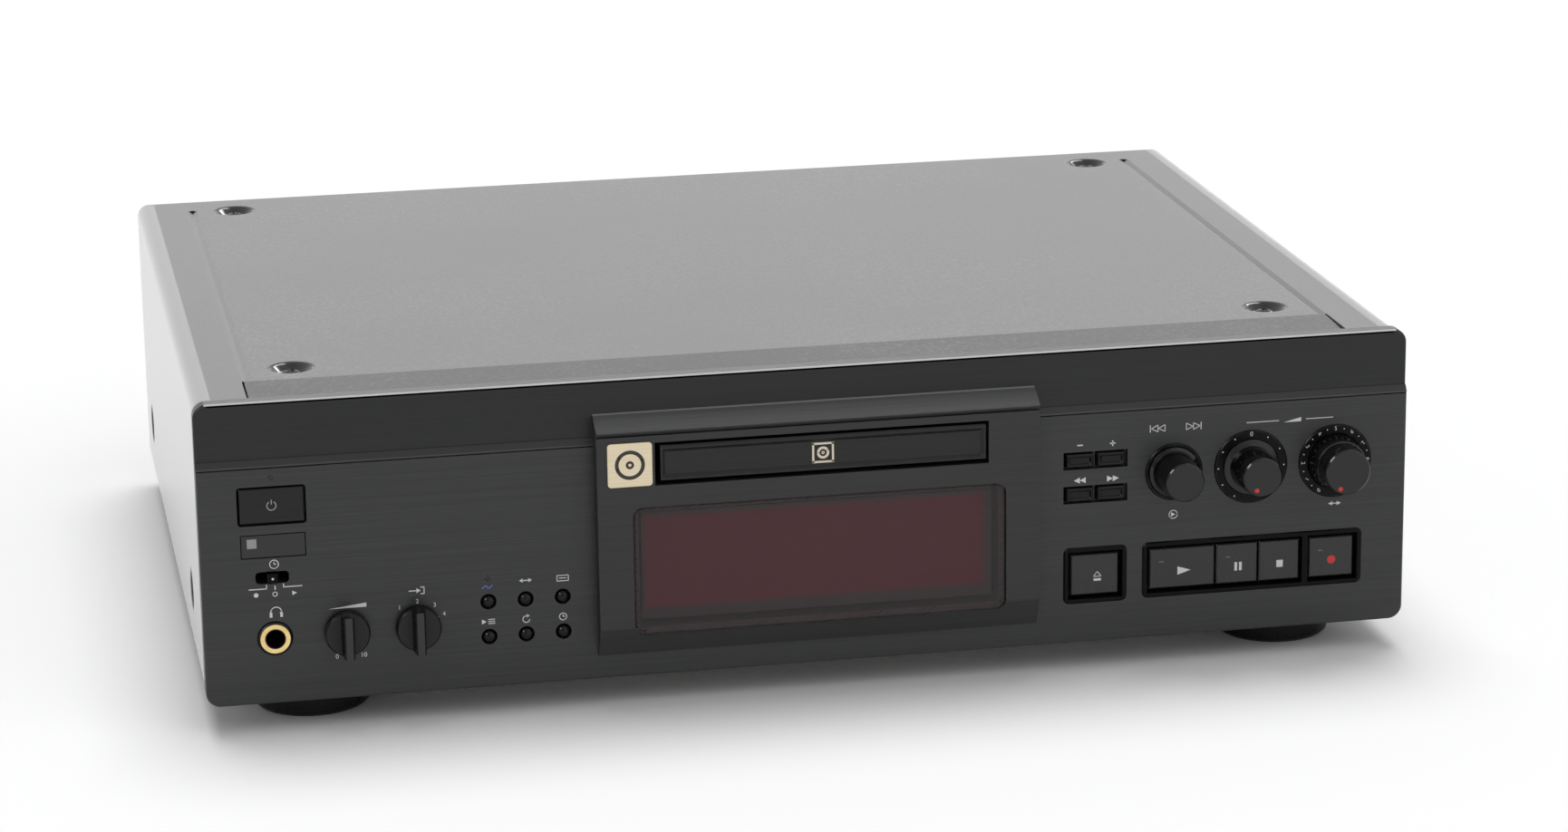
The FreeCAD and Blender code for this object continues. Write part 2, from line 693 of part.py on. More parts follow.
def display_block():
    """The raised block round the tray slot and the display, with a sloping visor along its top."""
    groove = BLOCK_FACE + VISOR_GROOVE
    outline = [(0, BLOCK_BOTTOM), (BLOCK_FOOT, BLOCK_BOTTOM), (BLOCK_FACE, BLOCK_BEVEL_TOP),
               (BLOCK_FACE, VISOR_BASE - VISOR_GROOVE), (groove, VISOR_BASE - VISOR_GROOVE),
               (groove, VISOR_BASE), (VISOR_NOSE, VISOR_BASE), (VISOR_NOSE, VISOR_BASE + 0.4),
               (BAND_STEP, VISOR_TOP), (BAND_STEP, PANEL_TOP + BEVEL_TALL), (BEVEL_FACE, PANEL_TOP),
               (0, PANEL_TOP)]
    plug = spanned(-PLUG_HALF, PLUG_HALF, PLUG_BOTTOM, PLUG_TOP, BLOCK_FACE / 2, FASCIA_DEPTH)
    front, back = VISOR_NOSE - 1, FASCIA_DEPTH + 1
    cutters = [
        spanned(SLOT_LEFT, SLOT_RIGHT, SLOT_BOTTOM, SLOT_TOP, front, back),
        spanned(-WINDOW_HALF - GAP, WINDOW_HALF + GAP, WINDOW_BOTTOM - GAP, WINDOW_TOP + GAP, front,
                WINDOW_FACE + WINDOW_THICK, WINDOW_R),
        spanned(-VIEW_HALF, VIEW_HALF, VIEW_BOTTOM, VIEW_TOP, front, back),
    ]
    return joined([cross_prism(outline, BLOCK_HALF), plug]).cut(cutters)


def display_window():
    back = WINDOW_FACE + WINDOW_THICK
    pane = spanned(-WINDOW_HALF, WINDOW_HALF, WINDOW_BOTTOM, WINDOW_TOP, WINDOW_FACE, back, WINDOW_R)
    return pane.makeChamfer(0.4, edges_at(pane, WINDOW_FACE))


def display_tube():
    """The glass display tube and the board that it is soldered to."""
    margin = 1.5
    tube = spanned(-VIEW_HALF + margin, VIEW_HALF - margin, VIEW_BOTTOM + margin, VIEW_TOP - margin,
                   FASCIA_DEPTH - TUBE_THICK, FASCIA_DEPTH)
    board = spanned(-PLUG_HALF + GAP, PLUG_HALF - GAP, PLUG_BOTTOM + GAP, WINDOW_TOP, FASCIA_DEPTH,
                    FASCIA_DEPTH + BOARD_THICK)
    return tube.fuse(board)


def badge_plate():
    return centred(BADGE_X, BADGE_Z, BADGE_SIDE, BADGE_SIDE, BLOCK_FACE - BADGE_THICK, BLOCK_FACE, 1.2)


def remote_window():
    face = 0.1
    pane = centred(COLUMN_X, REMOTE_Z, REMOTE_W - GAP, REMOTE_H - GAP, face, PANEL_THICK)
    return pane.makeChamfer(0.25, edges_at(pane, face))


def dial_rings():
    """The bezel of the jog knob and the two scale rings, each let into the panel."""
    rings = []
    for x, outer, bore in ((JOG_X, JOG_RING_R, JOG_RING_BORE_R), (DIGITAL_X, RING_R, RING_BORE_R),
                           (ANALOG_X, RING_R, RING_BORE_R)):
        rings.append(turned(x, DIAL_Z, [(PANEL_THICK, bore), (PANEL_THICK, outer), (0, outer),
                                        (-RING_PROUD, outer - RING_PROUD), (-RING_PROUD, bore)]))
    return group(rings)


def headphone_socket():
    """The gilt bush of the headphone jack and the barrel behind it."""
    face, bottom = -PHONES_PROUD, PHONES_BORE_LONG - PHONES_PROUD
    barrel_r, end = PHONES_R + 1.4, bottom + 3
    outline = [(face, PHONES_BORE_R), (face, PHONES_R - 0.5), (face + 0.5, PHONES_R), (FRAME_BACK, PHONES_R),
               (FRAME_BACK, barrel_r), (end, barrel_r), (end, 0), (bottom, 0), (bottom, PHONES_BORE_R)]
    return turned(PHONES_X, PHONES_Z, outline)


# ---- buttons, keys and knobs ----

def stem(x, z):
    """The square stem behind a button's flange, which works its switch."""
    return centred(x, z, STEM_SIDE, STEM_SIDE, FRAME_BACK + GAP, STEM_END)


def flange(x, z, width, height):
    """The plate behind the frame that keeps a button in."""
    start = FRAME_BACK + GAP
    reach = 2 * (FLANGE_REACH + GAP)
    return centred(x, z, width + reach, height + reach, start, start + KEY_FLANGE)


def round_button(x, z):
    face, end = -ROUND_PROUD, FRAME_BACK + GAP
    cap = turned(x, z, [(face, 0), (face + 0.15 * ROUND_DOME, 0.5 * ROUND_R),
                        (face + 0.5 * ROUND_DOME, 0.85 * ROUND_R), (face + ROUND_DOME, ROUND_R),
                        (end, ROUND_R), (end, 0)])
    return joined([cap, flange(x, z, 2 * ROUND_R, 2 * ROUND_R), stem(x, z)])


def square_button(x, z, width, height, face):
    """A rectangular button that runs straight through the panel and the frame."""
    cap = centred(x, z, width, height, face, FRAME_BACK + GAP)
    cap = cap.makeChamfer(0.4, edges_at(cap, face))
    return joined([cap, flange(x, z, width, height), stem(x, z)])


def power_button():
    return square_button(COLUMN_X, POWER_Z, power_key(POWER_W), power_key(POWER_H), 0)


def pair_button(x, z):
    """A small button whose face is hollowed for a fingertip."""
    hollow = sloping_hollow(x, z, PAIR_KEY_W, PAIR_KEY_H, -PAIR_PROUD - 0.1, PAIR_LIP, PAIR_INSET, PAIR_HOLLOW)
    return square_button(x, z, PAIR_KEY_W, PAIR_KEY_H, -PAIR_PROUD).cut(hollow)


def wide_key(left, right, z, height):
    """A key with a wide cap in its surround and a narrower body through the frame."""
    x = (left + right) / 2
    width, tall = right - left, height - 2 * KEY_GAP
    cap = centred(x, z, width, tall, KEY_FACE, FUNNEL_DEEP + 0.1)
    cap = cap.makeChamfer(KEY_BEVEL, edges_at(cap, KEY_FACE))
    narrow, low = width - 2 * KEY_SHOULDER, tall - 2 * KEY_SHOULDER
    body = centred(x, z, narrow, low, FUNNEL_DEEP + 0.1, FRAME_BACK + GAP)
    return joined([cap, body, flange(x, z, narrow, low), stem(x, z)])


def timer_knob():
    """The three-position slide switch: a small grip on a plate that covers its slot."""
    start = FRAME_BACK + GAP
    grip = centred(TIMER_X, TIMER_Z, TIMER_KNOB_W, TIMER_H - 1, -TIMER_REACH, start)
    grip = grip.makeChamfer(0.35, edges_at(grip, -TIMER_REACH))
    plate = centred(TIMER_X, TIMER_Z, TIMER_W + 2 * (TIMER_STEP + 1), TIMER_H + 2, start, start + KEY_FLANGE)
    return joined([grip, plate])


def small_knob(x):
    """A round knob with a tapered bar grip across its face."""
    z, base, collar, nose = SMALL_KNOB_Z, -0.4, -3.6, -SMALL_KNOB_REACH
    disc = turned(x, z, [(base, 0), (base, SMALL_KNOB_R), (collar + 0.5, SMALL_KNOB_R),
                         (collar, SMALL_KNOB_R - 0.5), (collar, 0)])
    half = GRIP_WIDTH / 2
    right_side = [(half, collar + 1), (half, collar - 0.4), (half - 0.6, nose + 0.5), (half - 1.1, nose)]
    outline = right_side + [(-w, y) for w, y in reversed(right_side)]
    bar = prism([(x + w, y, z - SMALL_KNOB_R) for w, y in outline], (0, 0, 2 * SMALL_KNOB_R))
    bar = bar.common(rod(x, z, SMALL_KNOB_R - 0.15, nose, 0))
    return joined([disc, bar, rod(x, z, SHAFT_R, base, POT_FACE - GAP)])


def dial_outline(reach, front_r, root_r, flange_r):
    """The outline of a tapered knob with a flange at its root, from the middle of its face backwards."""
    return [(-reach, 0), (-reach, front_r - 0.5), (-reach + 0.5, front_r), (-1.6, root_r),
            (-1.0, flange_r), (0.4, flange_r)]


def digital_knob():
    outline = dial_outline(KNOB_REACH - 0.8, 7.1, 8.0, RING_BORE_R - GAP)
    end = POT_FACE - GAP
    return turned(DIGITAL_X, DIAL_Z, outline + [(0.4, SHAFT_R), (end, SHAFT_R), (end, 0)])


def jog_shaft():
    return rod(JOG_X, DIAL_Z, SHAFT_R, jog_bore_end() + GAP, POT_FACE - JOG_TRAVEL - GAP)


def jog_bore_end():
    return 3.5 - KNOB_REACH


def jog_knob():
    """The jog knob turns on its shaft, and is pushed in with it."""
    outline = dial_outline(KNOB_REACH - 0.8, 7.0, 8.0, JOG_RING_BORE_R - GAP)
    bore = SHAFT_R + RUNNING
    return turned(JOG_X, DIAL_Z, outline + [(0.4, bore), (jog_bore_end(), bore), (jog_bore_end(), 0)])


def analog_rear_knob():
    """The outer knob of the stacked pair, on a hollow shaft."""
    bore, root = INNER_SHAFT_R + RUNNING, RING_BORE_R - GAP
    front, end = -REAR_KNOB_REACH, POT_FACE - GAP
    outline = [(front, bore), (front, 8.8), (front + 0.5, 9.2), (-1.2, root), (0.4, root), (0.4, SLEEVE_R),
               (end, SLEEVE_R), (end, bore)]
    return turned(ANALOG_X, DIAL_Z, outline)


def analog_front_knob():
    front, back, end = -KNOB_REACH, -REAR_KNOB_REACH - GAP, POT_FACE + 1
    outline = [(front, 0), (front, 7.7), (front + 0.5, 8.2), (back, 8.8), (back, INNER_SHAFT_R),
               (end, INNER_SHAFT_R), (end, 0)]
    return turned(ANALOG_X, DIAL_Z, outline)


# ---- cover, chassis and rear ----

def dish_places():
    """The centre of each screw dish on the cover's outer face, and the outward direction there."""
    x = RIGHT - TOP_SCREW_IN
    top = [(V(side * x, y, COVER_TOP), V(0, 0, 1)) for y in (TOP_SCREW_FRONT, BODY_DEPTH - TOP_SCREW_BACK_IN)
           for side in (-1, 1)]
    sides = [(V(side * COVER_HALF, y, SIDE_SCREW_Z), V(side, 0, 0))
             for y in (SIDE_SCREW_FRONT, BODY_DEPTH - SIDE_SCREW_BACK_IN) for side in (-1, 1)]
    return top + sides


def aimed(solid, place, outward):
    """Moves a solid that was drawn about the origin, facing up, to a place on the cover."""
    solid.Placement = FreeCAD.Placement(place, FreeCAD.Rotation(V(0, 0, 1), outward))
    return solid


def dish_cup():
    """The sheet pressed inwards for a screw."""
    return turned_up(0, 0, [(-SHEET, 0), (-SHEET, DISH_R + 0.8), (-DISH_DEEP - SHEET, DISH_FLOOR_R + 0.8),
                            (-DISH_DEEP - SHEET, 0)])


def dish_hollow():
    hollow = turned_up(0, 0, [(0.1, 0), (0.1, DISH_R), (0, DISH_R), (-DISH_DEEP, DISH_FLOOR_R),
                              (-DISH_DEEP, 0)])
    return hollow.makeFillet(DISH_BEND_R, circles(hollow, DISH_FLOOR_R))


def cover_shell(half, top, bottom, front, back, radius):
    """A solid the size of the folded cover's outside or inside."""
    solid = box(-half, half, front, back, bottom, top)
    folds = [e for e in along(solid, V(0, 1, 0)) if abs(e.BoundBox.ZMax - top) < 1e-4]
    return solid.makeFillet(radius, folds)


def top_cover():
    """One folded sheet: top and both sides, with pressed grooves and a sloping front strip."""
    outer = cover_shell(COVER_HALF, COVER_TOP, COVER_BOTTOM, FASCIA_DEPTH, BODY_DEPTH, COVER_FOLD_R)
    inner = cover_shell(INNER_HALF, INNER_TOP, COVER_BOTTOM - 1, FASCIA_DEPTH - 1, BODY_DEPTH + 1,
                        COVER_FOLD_R - SHEET)
    groove_x = RIGHT - GROOVE_IN
    slit_x = groove_x + SLIT_OUT
    strip_half = slit_x - SLIT_WIDTH / 2
    slope = STRIP_DROP / (STRIP_BACK - FASCIA_DEPTH)
    above = cross_prism([(FASCIA_DEPTH - 1, COVER_TOP - STRIP_DROP - slope), (STRIP_BACK, COVER_TOP),
                         (FASCIA_DEPTH - 1, COVER_TOP + 1)], strip_half)
    below = cross_prism([(FASCIA_DEPTH, INNER_TOP - STRIP_DROP), (STRIP_BACK, INNER_TOP),
                         (FASCIA_DEPTH, INNER_TOP + 0.1)], strip_half)
    cups = [aimed(dish_cup(), place, outward) for place, outward in dish_places()]
    cutters = [above] + [aimed(dish_hollow(), place, outward) for place, outward in dish_places()]
    half, slit = GROOVE_WIDTH / 2, SLIT_WIDTH / 2
    groove_back, over = BODY_DEPTH - GROOVE_BACK_IN, COVER_TOP + 1
    for x in (-groove_x, groove_x):
        notch = [(x - half, over), (x - half, COVER_TOP), (x, COVER_TOP - GROOVE_DEEP), (x + half, COVER_TOP),
                 (x + half, over)]
        cutters.append(prism([(px, GROOVE_FRONT, pz) for px, pz in notch], (0, groove_back - GROOVE_FRONT, 0)))
    cutters += mirrored_boxes(slit_x - slit, slit_x + slit, SLIT_FRONT, SLIT_BACK,
                              INNER_TOP - STRIP_DROP - 1, over)
    cutters += [post(side * groove_x, groove_back, GROOVE_END_R, INNER_TOP - 1, over) for side in (-1, 1)]
    cover = outer.cut(inner).fuse([below] + cups).cut(cutters)
    return cover.makeFillet(DISH_RIM_R, circles(cover, DISH_R))


def chassis_base():
    """The floor of the deck, folded up at both sides, the front and the back."""
    front, back = FRAME_BACK, REAR_FACE - SHEET
    low = COVER_BOTTOM
    pieces = [box(-INNER_HALF, INNER_HALF, front, back, low, FLOOR_TOP)]
    pieces += mirrored_boxes(INNER_HALF - SHEET, INNER_HALF, front, back, low, low + FLANGE_TALL)
    pieces.append(box(-INNER_HALF, INNER_HALF, front, front + SHEET, low, low + 9))
    pieces.append(box(-INNER_HALF, INNER_HALF, back - SHEET, back, low, low + 12))
    tab, rest = TAB_SIDE / 2, FLOOR_TOP + BOARD_LIFT
    pieces += [box(x - tab, x + tab, y - tab, y + tab, FLOOR_TOP, rest) for x, y in tab_places()]
    cutters = []
    notch = DISH_R + 1.5
    for y in (SIDE_SCREW_FRONT, BODY_DEPTH - SIDE_SCREW_BACK_IN):
        cutters += mirrored_boxes(INNER_HALF - 5, INNER_HALF + 1, y - notch, y + notch, SIDE_SCREW_Z - notch,
                                  low + FLANGE_TALL + 1)
    for slot in range(VENT_COUNT):
        left = VENT_X + slot * VENT_PITCH - VENT_WIDTH / 2
        end = VENT_FRONT + VENT_LONG
        cutters.append(box(left, left + VENT_WIDTH, VENT_FRONT, end, low - 1, FLOOR_TOP + 1))
    return joined(pieces).cut(cutters)


def power_board_area():
    """The power board's left, right, front and back edges."""
    left = POWER_BOARD_IN - RIGHT
    return left, left + POWER_BOARD_W, POWER_BOARD_FRONT, CORE_Y - COIL_D / 2 - BOARD_SPACE


def main_board_area():
    return MAIN_BOARD_LEFT, RIGHT - MAIN_BOARD_IN, FRAME_END + BOARD_SPACE, REAR_FACE - BOARD_SPACE


def tab_places():
    """The folded tabs that the circuit boards rest on, one under each corner."""
    places = []
    for left, right, front, back in (power_board_area(), main_board_area()):
        depths = (front + TAB_SIDE, back - TAB_SIDE)
        places += [(x, y) for x in (left + TAB_SIDE, right - TAB_SIDE) for y in depths]
    return places


def rear_panel():
    """The flat rear panel, with a lip along its top that the cover lies on."""
    back, front = REAR_FACE, REAR_FACE - SHEET
    fold = COVER_FOLD_R - SHEET
    plate = spanned(-INNER_HALF, INNER_HALF, COVER_BOTTOM, INNER_TOP, front, back)
    lip = box(-INNER_HALF + 8, INNER_HALF - 8, front - 6, front, INNER_TOP - SHEET, INNER_TOP)
    cutters = mirrored_boxes(INNER_HALF - fold, INNER_HALF + 1, front - 1, back + 1,
                             INNER_TOP - fold, INNER_TOP + 1)
    holes = [(x, z, PLATE_SIDE, height) for x, z, height in jack_plates()]
    holes += [(x, OPTICAL_Z, OPTICAL_W, OPTICAL_H) for x in OPTICAL_X]
    holes.append((INLET_X, INLET_Z, INLET_W, INLET_H))
    cutters += [socket_body(x, z, width, height, front - 1, back + 1) for x, z, width, height in holes]
    return joined([plate, lip]).cut(cutters)


def socket_body(x, z, width, height, y0, y1):
    """The part of a socket that goes through the rear panel; width and height are its flange's."""
    return centred(x, z, width - 2 * SOCKET_LIP, height - 2 * SOCKET_LIP, y0, y1)


def jack_plates():
    """The moulded plates that carry the phono jacks: each one's place and height."""
    middle = sum(PHONO_Z) / 2
    tall = PHONO_Z[1] - PHONO_Z[0] + PLATE_SIDE
    return [(x, middle, tall) for x in PHONO_X] + [(COAX_X, PHONO_Z[0], PLATE_SIDE)]


def phono_places():
    return [(x, z) for x in PHONO_X for z in PHONO_Z] + [(COAX_X, PHONO_Z[0])]


def phono_jacks():
    """Phono jacks on moulded plates, each with a plated barrel and a contact hole."""
    end = BODY_DEPTH + JACK_REACH
    face = REAR_FACE + SOCKET_FLANGE
    plates = []
    for x, z, height in jack_plates():
        plate = centred(x, z, PLATE_SIDE, height, REAR_FACE, face)
        body = socket_body(x, z, PLATE_SIDE, height, REAR_FACE - SHEET - 6, REAR_FACE)
        barrels = [rod(x, pz, PHONO_R, face, end) for px, pz in phono_places() if px == x]
        holes = [rod(x, pz, PHONO_BORE_R, end - 7, end + 1) for px, pz in phono_places() if px == x]
        plates.append(joined([plate, body] + barrels).cut(holes))
    return group(plates)


def optical_sockets():
    """Three square sockets, open to the rear."""
    sockets = []
    for x in OPTICAL_X:
        rim = centred(x, OPTICAL_Z, OPTICAL_W, OPTICAL_H, REAR_FACE, REAR_FACE + SOCKET_FLANGE)
        bottom = REAR_FACE - OPTICAL_DEEP
        body = socket_body(x, OPTICAL_Z, OPTICAL_W, OPTICAL_H, bottom - 2, REAR_FACE)
        hole = centred(x, OPTICAL_Z, OPTICAL_HOLE_W, OPTICAL_HOLE_H, bottom, REAR_FACE + 2)
        sockets.append(joined([rim, body]).cut(hole))
    return group(sockets)


def mains_inlet():
    """A two-pin appliance inlet."""
    rim = centred(INLET_X, INLET_Z, INLET_W, INLET_H, REAR_FACE, REAR_FACE + SOCKET_FLANGE, 2)
    bottom = REAR_FACE - INLET_DEEP
    body = socket_body(INLET_X, INLET_Z, INLET_W, INLET_H, bottom - 3, REAR_FACE)
    hole = centred(INLET_X, INLET_Z, INLET_HOLE_W, INLET_HOLE_H, bottom, REAR_FACE + 3)
    pins = [rod(INLET_X + side * INLET_PIN_PITCH / 2, INLET_Z, INLET_PIN_R, bottom - 0.1, REAR_FACE - 2)
            for side in (-1, 1)]
    return rim.fuse(body).cut(hole).fuse(pins)


def foot(x, y):
    """A squat round foot that narrows slightly towards the ground."""
    return turned_up(x, y, [(COVER_BOTTOM, 0), (COVER_BOTTOM, FOOT_TOP_R), (-FOOT_DROP + 1.2, FOOT_BASE_R),
                            (-FOOT_DROP, FOOT_BASE_R - 1.2), (-FOOT_DROP, 0)])


def feet():
    x = RIGHT - FOOT_IN
    return group([foot(side * x, y) for y in (FOOT_FRONT, BODY_DEPTH - FOOT_BACK_IN) for side in (-1, 1)])


# ---- circuit boards and transformer ----

def transformer():
    """The mains transformer: an iron core with its winding, on the chassis floor."""
    z = FLOOR_TOP + CORE_H / 2
    core = centred(CORE_X, z, CORE_W, CORE_H, CORE_Y - CORE_D / 2, CORE_Y + CORE_D / 2)
    coil = centred(CORE_X, z, COIL_W, CORE_H - 2 * COIL_IN, CORE_Y - COIL_D / 2, CORE_Y + COIL_D / 2)
    return core.fuse(coil)


def power_board():
    """The power supply: board, reservoir capacitors and a finned heat sink."""
    left, right, front, back = power_board_area()
    bottom = FLOOR_TOP + BOARD_LIFT
    top = bottom + BOARD_THICK
    third = (back - front) / 3
    capacitors = [post(left + 25, front + (i + 1) * third, 11, top, top + 32) for i in (0, 1)]
    sink = [box(right - 26, right - 22, front + 15, back - 15, top, top + 34)]
    fins = 5
    for i in range(fins):
        y = front + 15 + (back - front - 32) * i / (fins - 1)
        sink.append(box(right - 22, right - 10, y, y + 2, top, top + 34))
    return joined([box(left, right, front, back, bottom, top)] + capacitors + sink)


def main_board():
    """The signal board, with its larger chips and its shielding can."""
    left, right, front, back = main_board_area()
    bottom = FLOOR_TOP + BOARD_LIFT
    top = bottom + BOARD_THICK
    width, depth = right - left, back - front
    pieces = [box(left, right, front, back, bottom, top)]
    for across, side in MAIN_CHIPS:
        x, y = left + width * across, front + depth / 3
        pieces.append(box(x - side / 2, x + side / 2, y - side / 2, y + side / 2, top, top + CHIP_TALL))
    x, y, half = left + width * 0.64, front + depth * 0.72, CAN_SIDE / 2
    pieces.append(box(x - half, x + half, y - half, y + half, top, top + CAN_TALL))
    return joined(pieces)


def control_board(left, right, keys, pots):
    """One board behind the controls, on a foot, with a switch or a potentiometer for each."""
    plate = spanned(left, right, FLOOR_TOP + 1, PANEL_TOP - 4, BOARD_FACE, BOARD_FACE + BOARD_THICK)
    middle = (left + right) / 2
    parts = [plate, box(middle - 4, middle + 4, FRAME_BACK + SHEET, BOARD_FACE, FLOOR_TOP, FLOOR_TOP + 4)]
    switch_face = STEM_END + POWER_TRAVEL + GAP
    parts += [centred(x, z, SWITCH_SIDE, SWITCH_SIDE, switch_face, BOARD_FACE) for x, z in keys]
    parts += [centred(x, z, POT_SIDE, POT_SIDE, POT_FACE, BOARD_FACE) for x, z in pots]
    return joined(parts)


def front_boards():
    outer, inner = INNER_HALF - 8, BLOCK_HALF + 8
    left = control_board(-outer, -inner, round_places() + [(COLUMN_X, POWER_Z)],
                         [(x, SMALL_KNOB_Z) for x in SMALL_KNOB_X])
    left = left.cut(rod(PHONES_X, PHONES_Z, PHONES_R + 1.4 + GAP, POT_FACE, BOARD_FACE + 5))
    keys = [((left_x + right_x) / 2, z) for left_x, right_x, z, height in key_spans().values()]
    dials = [(x, DIAL_Z) for x in (JOG_X, DIGITAL_X, ANALOG_X)]
    right = control_board(inner, outer, pair_places() + keys, dials)
    right = right.cut(rod(ANALOG_X, DIAL_Z, INNER_SHAFT_R + RUNNING, POT_FACE - 1, POT_FACE + 2))
    return group([left, right])


# ---- tray ----

def tray_front():
    """The tray's front: a bar with a sloping top edge and a wide hollow in its face."""
    back, slope = TRAY_FACE + TRAY_FRONT_THICK, TRAY_FRONT_SLOPE
    outline = [(back, TRAY_FRONT_BOTTOM), (TRAY_FACE, TRAY_FRONT_BOTTOM), (TRAY_FACE, TRAY_FRONT_TOP - slope),
               (TRAY_FACE + slope / 2, TRAY_FRONT_TOP), (back, TRAY_FRONT_TOP)]
    x, half = (TRAY_FRONT_LEFT + TRAY_FRONT_RIGHT) / 2, (TRAY_FRONT_RIGHT - TRAY_FRONT_LEFT) / 2
    bar = cross_prism(outline, half)
    bar.translate(V(x, 0, 0))
    face_top = TRAY_FRONT_TOP - slope
    hollow = sloping_hollow(x, (TRAY_FRONT_BOTTOM + face_top) / 2, 2 * half, face_top - TRAY_FRONT_BOTTOM,
                            TRAY_FACE - 0.1, TRAY_FRONT_LIP, TRAY_FRONT_INSET, TRAY_FACE + TRAY_FRONT_HOLLOW)
    return bar.cut(hollow)


def tray():
    """The sliding tray: disc well, finger notches, runners, rack and a forked tail."""
    front = TRAY_FACE + TRAY_FRONT_THICK
    well_half = DISC_W / 2 + WELL_CLEAR
    plate = box(-TRAY_HALF, TRAY_HALF, front, TRAY_BACK, TRAY_BOTTOM, TRAY_TOP)
    runner = TRAY_BOTTOM + RUNNER_UP
    runners = mirrored_boxes(TRAY_HALF, TRAY_HALF + RUNNER_OUT, FRAME_FRONT + 2, TRAY_BACK, runner,
                             runner + RUNNER_TALL)
    well_end = WELL_FRONT + DISC_D + 2 * WELL_CLEAR
    cutters = [
        box(-well_half, well_half, WELL_FRONT, well_end, WELL_FLOOR, TRAY_TOP + 1),
        box(-CHANNEL_HALF, CHANNEL_HALF, SPINDLE_Y - TABLE_R - 3, TRAY_BACK + 1, TRAY_BOTTOM - 1,
            TRAY_BOTTOM + CHANNEL_DEEP),
        box(-TAIL_HALF, TAIL_HALF, TAIL_FRONT, TRAY_BACK + 1, TRAY_BOTTOM - 1, TRAY_TOP + 1),
    ]
    cutters += [post(side * well_half, SPINDLE_Y, NOTCH_R, WELL_FLOOR, TRAY_TOP + 1) for side in (-1, 1)]
    return joined([plate.fuse(runners).cut(cutters), rack()])


# ---- loading drive ----

def tray_gear():
    """The gear under the tray: a pinion in the rack, on the wheel that the pulley gear drives."""
    wheel_top = WHEEL_Z + WHEEL_THICK
    hub = post(AXLE_X, AXLE_Y, HUB_R, DECK_TOP + GAP, WHEEL_Z)
    wheel = gear(AXLE_X, AXLE_Y, WHEEL_TEETH, WHEEL_Z, wheel_top, math.pi / 2)
    pinion = gear(AXLE_X, AXLE_Y, PINION_TEETH, wheel_top, TRAY_BOTTOM - GAP, 0)
    return joined([hub, wheel, pinion]).cut(axle_bore(AXLE_X, AXLE_Y))


def axle_bore(x, y):
    return post(x, y, AXLE_R + RUNNING, DECK_TOP, TRAY_BOTTOM)


def pulley(x, y, groove_r, flange_r, bore):
    """A grooved wheel for the belt."""
    low, high = PULLEY_Z, PULLEY_Z + PULLEY_TALL
    groove_low, groove_high = low + PULLEY_LIP, high - PULLEY_LIP
    return turned_up(x, y, [(low, bore), (low, flange_r), (groove_low, flange_r), (groove_low, groove_r),
                            (groove_high, groove_r), (groove_high, flange_r), (high, flange_r), (high, bore)])


def pulley_gear():
    """The wheel that the belt turns, with the small gear above it."""
    x, y = AXLE_X, SECOND_AXLE_Y
    wheel = pulley(x, y, PULLEY_R, PULLEY_FLANGE_R, 0)
    hub = post(x, y, HUB_R, DECK_TOP + GAP, WHEEL_Z)
    teeth = gear(x, y, SMALL_TEETH, WHEEL_Z, WHEEL_Z + WHEEL_THICK, math.pi / SMALL_TEETH - math.pi / 2)
    return joined([hub, wheel, teeth]).cut(axle_bore(x, y))


def motor_pulley():
    return pulley(MOTOR_X, MOTOR_Y, MOTOR_PULLEY_R, MOTOR_PULLEY_FLANGE_R, MOTOR_SHAFT_R + RUNNING)


def belt_area(extra):
    """The area inside a loop that runs round both pulleys, extra outside their grooves."""
    x0, y0 = AXLE_X, SECOND_AXLE_Y
    heading = math.atan2(MOTOR_Y - y0, MOTOR_X - x0)
    big, small = PULLEY_R + extra, MOTOR_PULLEY_R + extra
    lean = math.acos((big - small) / math.hypot(MOTOR_X - x0, MOTOR_Y - y0))
    z = PULLEY_Z + PULLEY_LIP + BELT_SIDE_GAP

    def on_big(angle):
        return V(x0 + big * math.cos(heading + angle), y0 + big * math.sin(heading + angle), z)

    def on_small(angle):
        return V(MOTOR_X + small * math.cos(heading + angle), MOTOR_Y + small * math.sin(heading + angle), z)

    round_big = Part.Arc(on_big(lean), on_big(math.pi), on_big(-lean)).toShape()
    round_small = Part.Arc(on_small(-lean), on_small(0), on_small(lean)).toShape()
    runs = [Part.makeLine(on_big(-lean), on_small(-lean)), Part.makeLine(on_small(lean), on_big(lean))]
    return Part.Face(Part.Wire([round_big, runs[0], round_small, runs[1]]))


def drive_belt():
    height = V(0, 0, PULLEY_TALL - 2 * (PULLEY_LIP + BELT_SIDE_GAP))
    return belt_area(RUNNING + BELT_THICK).extrude(height).cut(belt_area(RUNNING).extrude(height))


def loading_motor():
    can = post(MOTOR_X, MOTOR_Y, MOTOR_R, DECK_BOTTOM - MOTOR_TALL, DECK_BOTTOM)
    return can.fuse(post(MOTOR_X, MOTOR_Y, MOTOR_SHAFT_R, DECK_BOTTOM, PULLEY_Z + PULLEY_TALL))


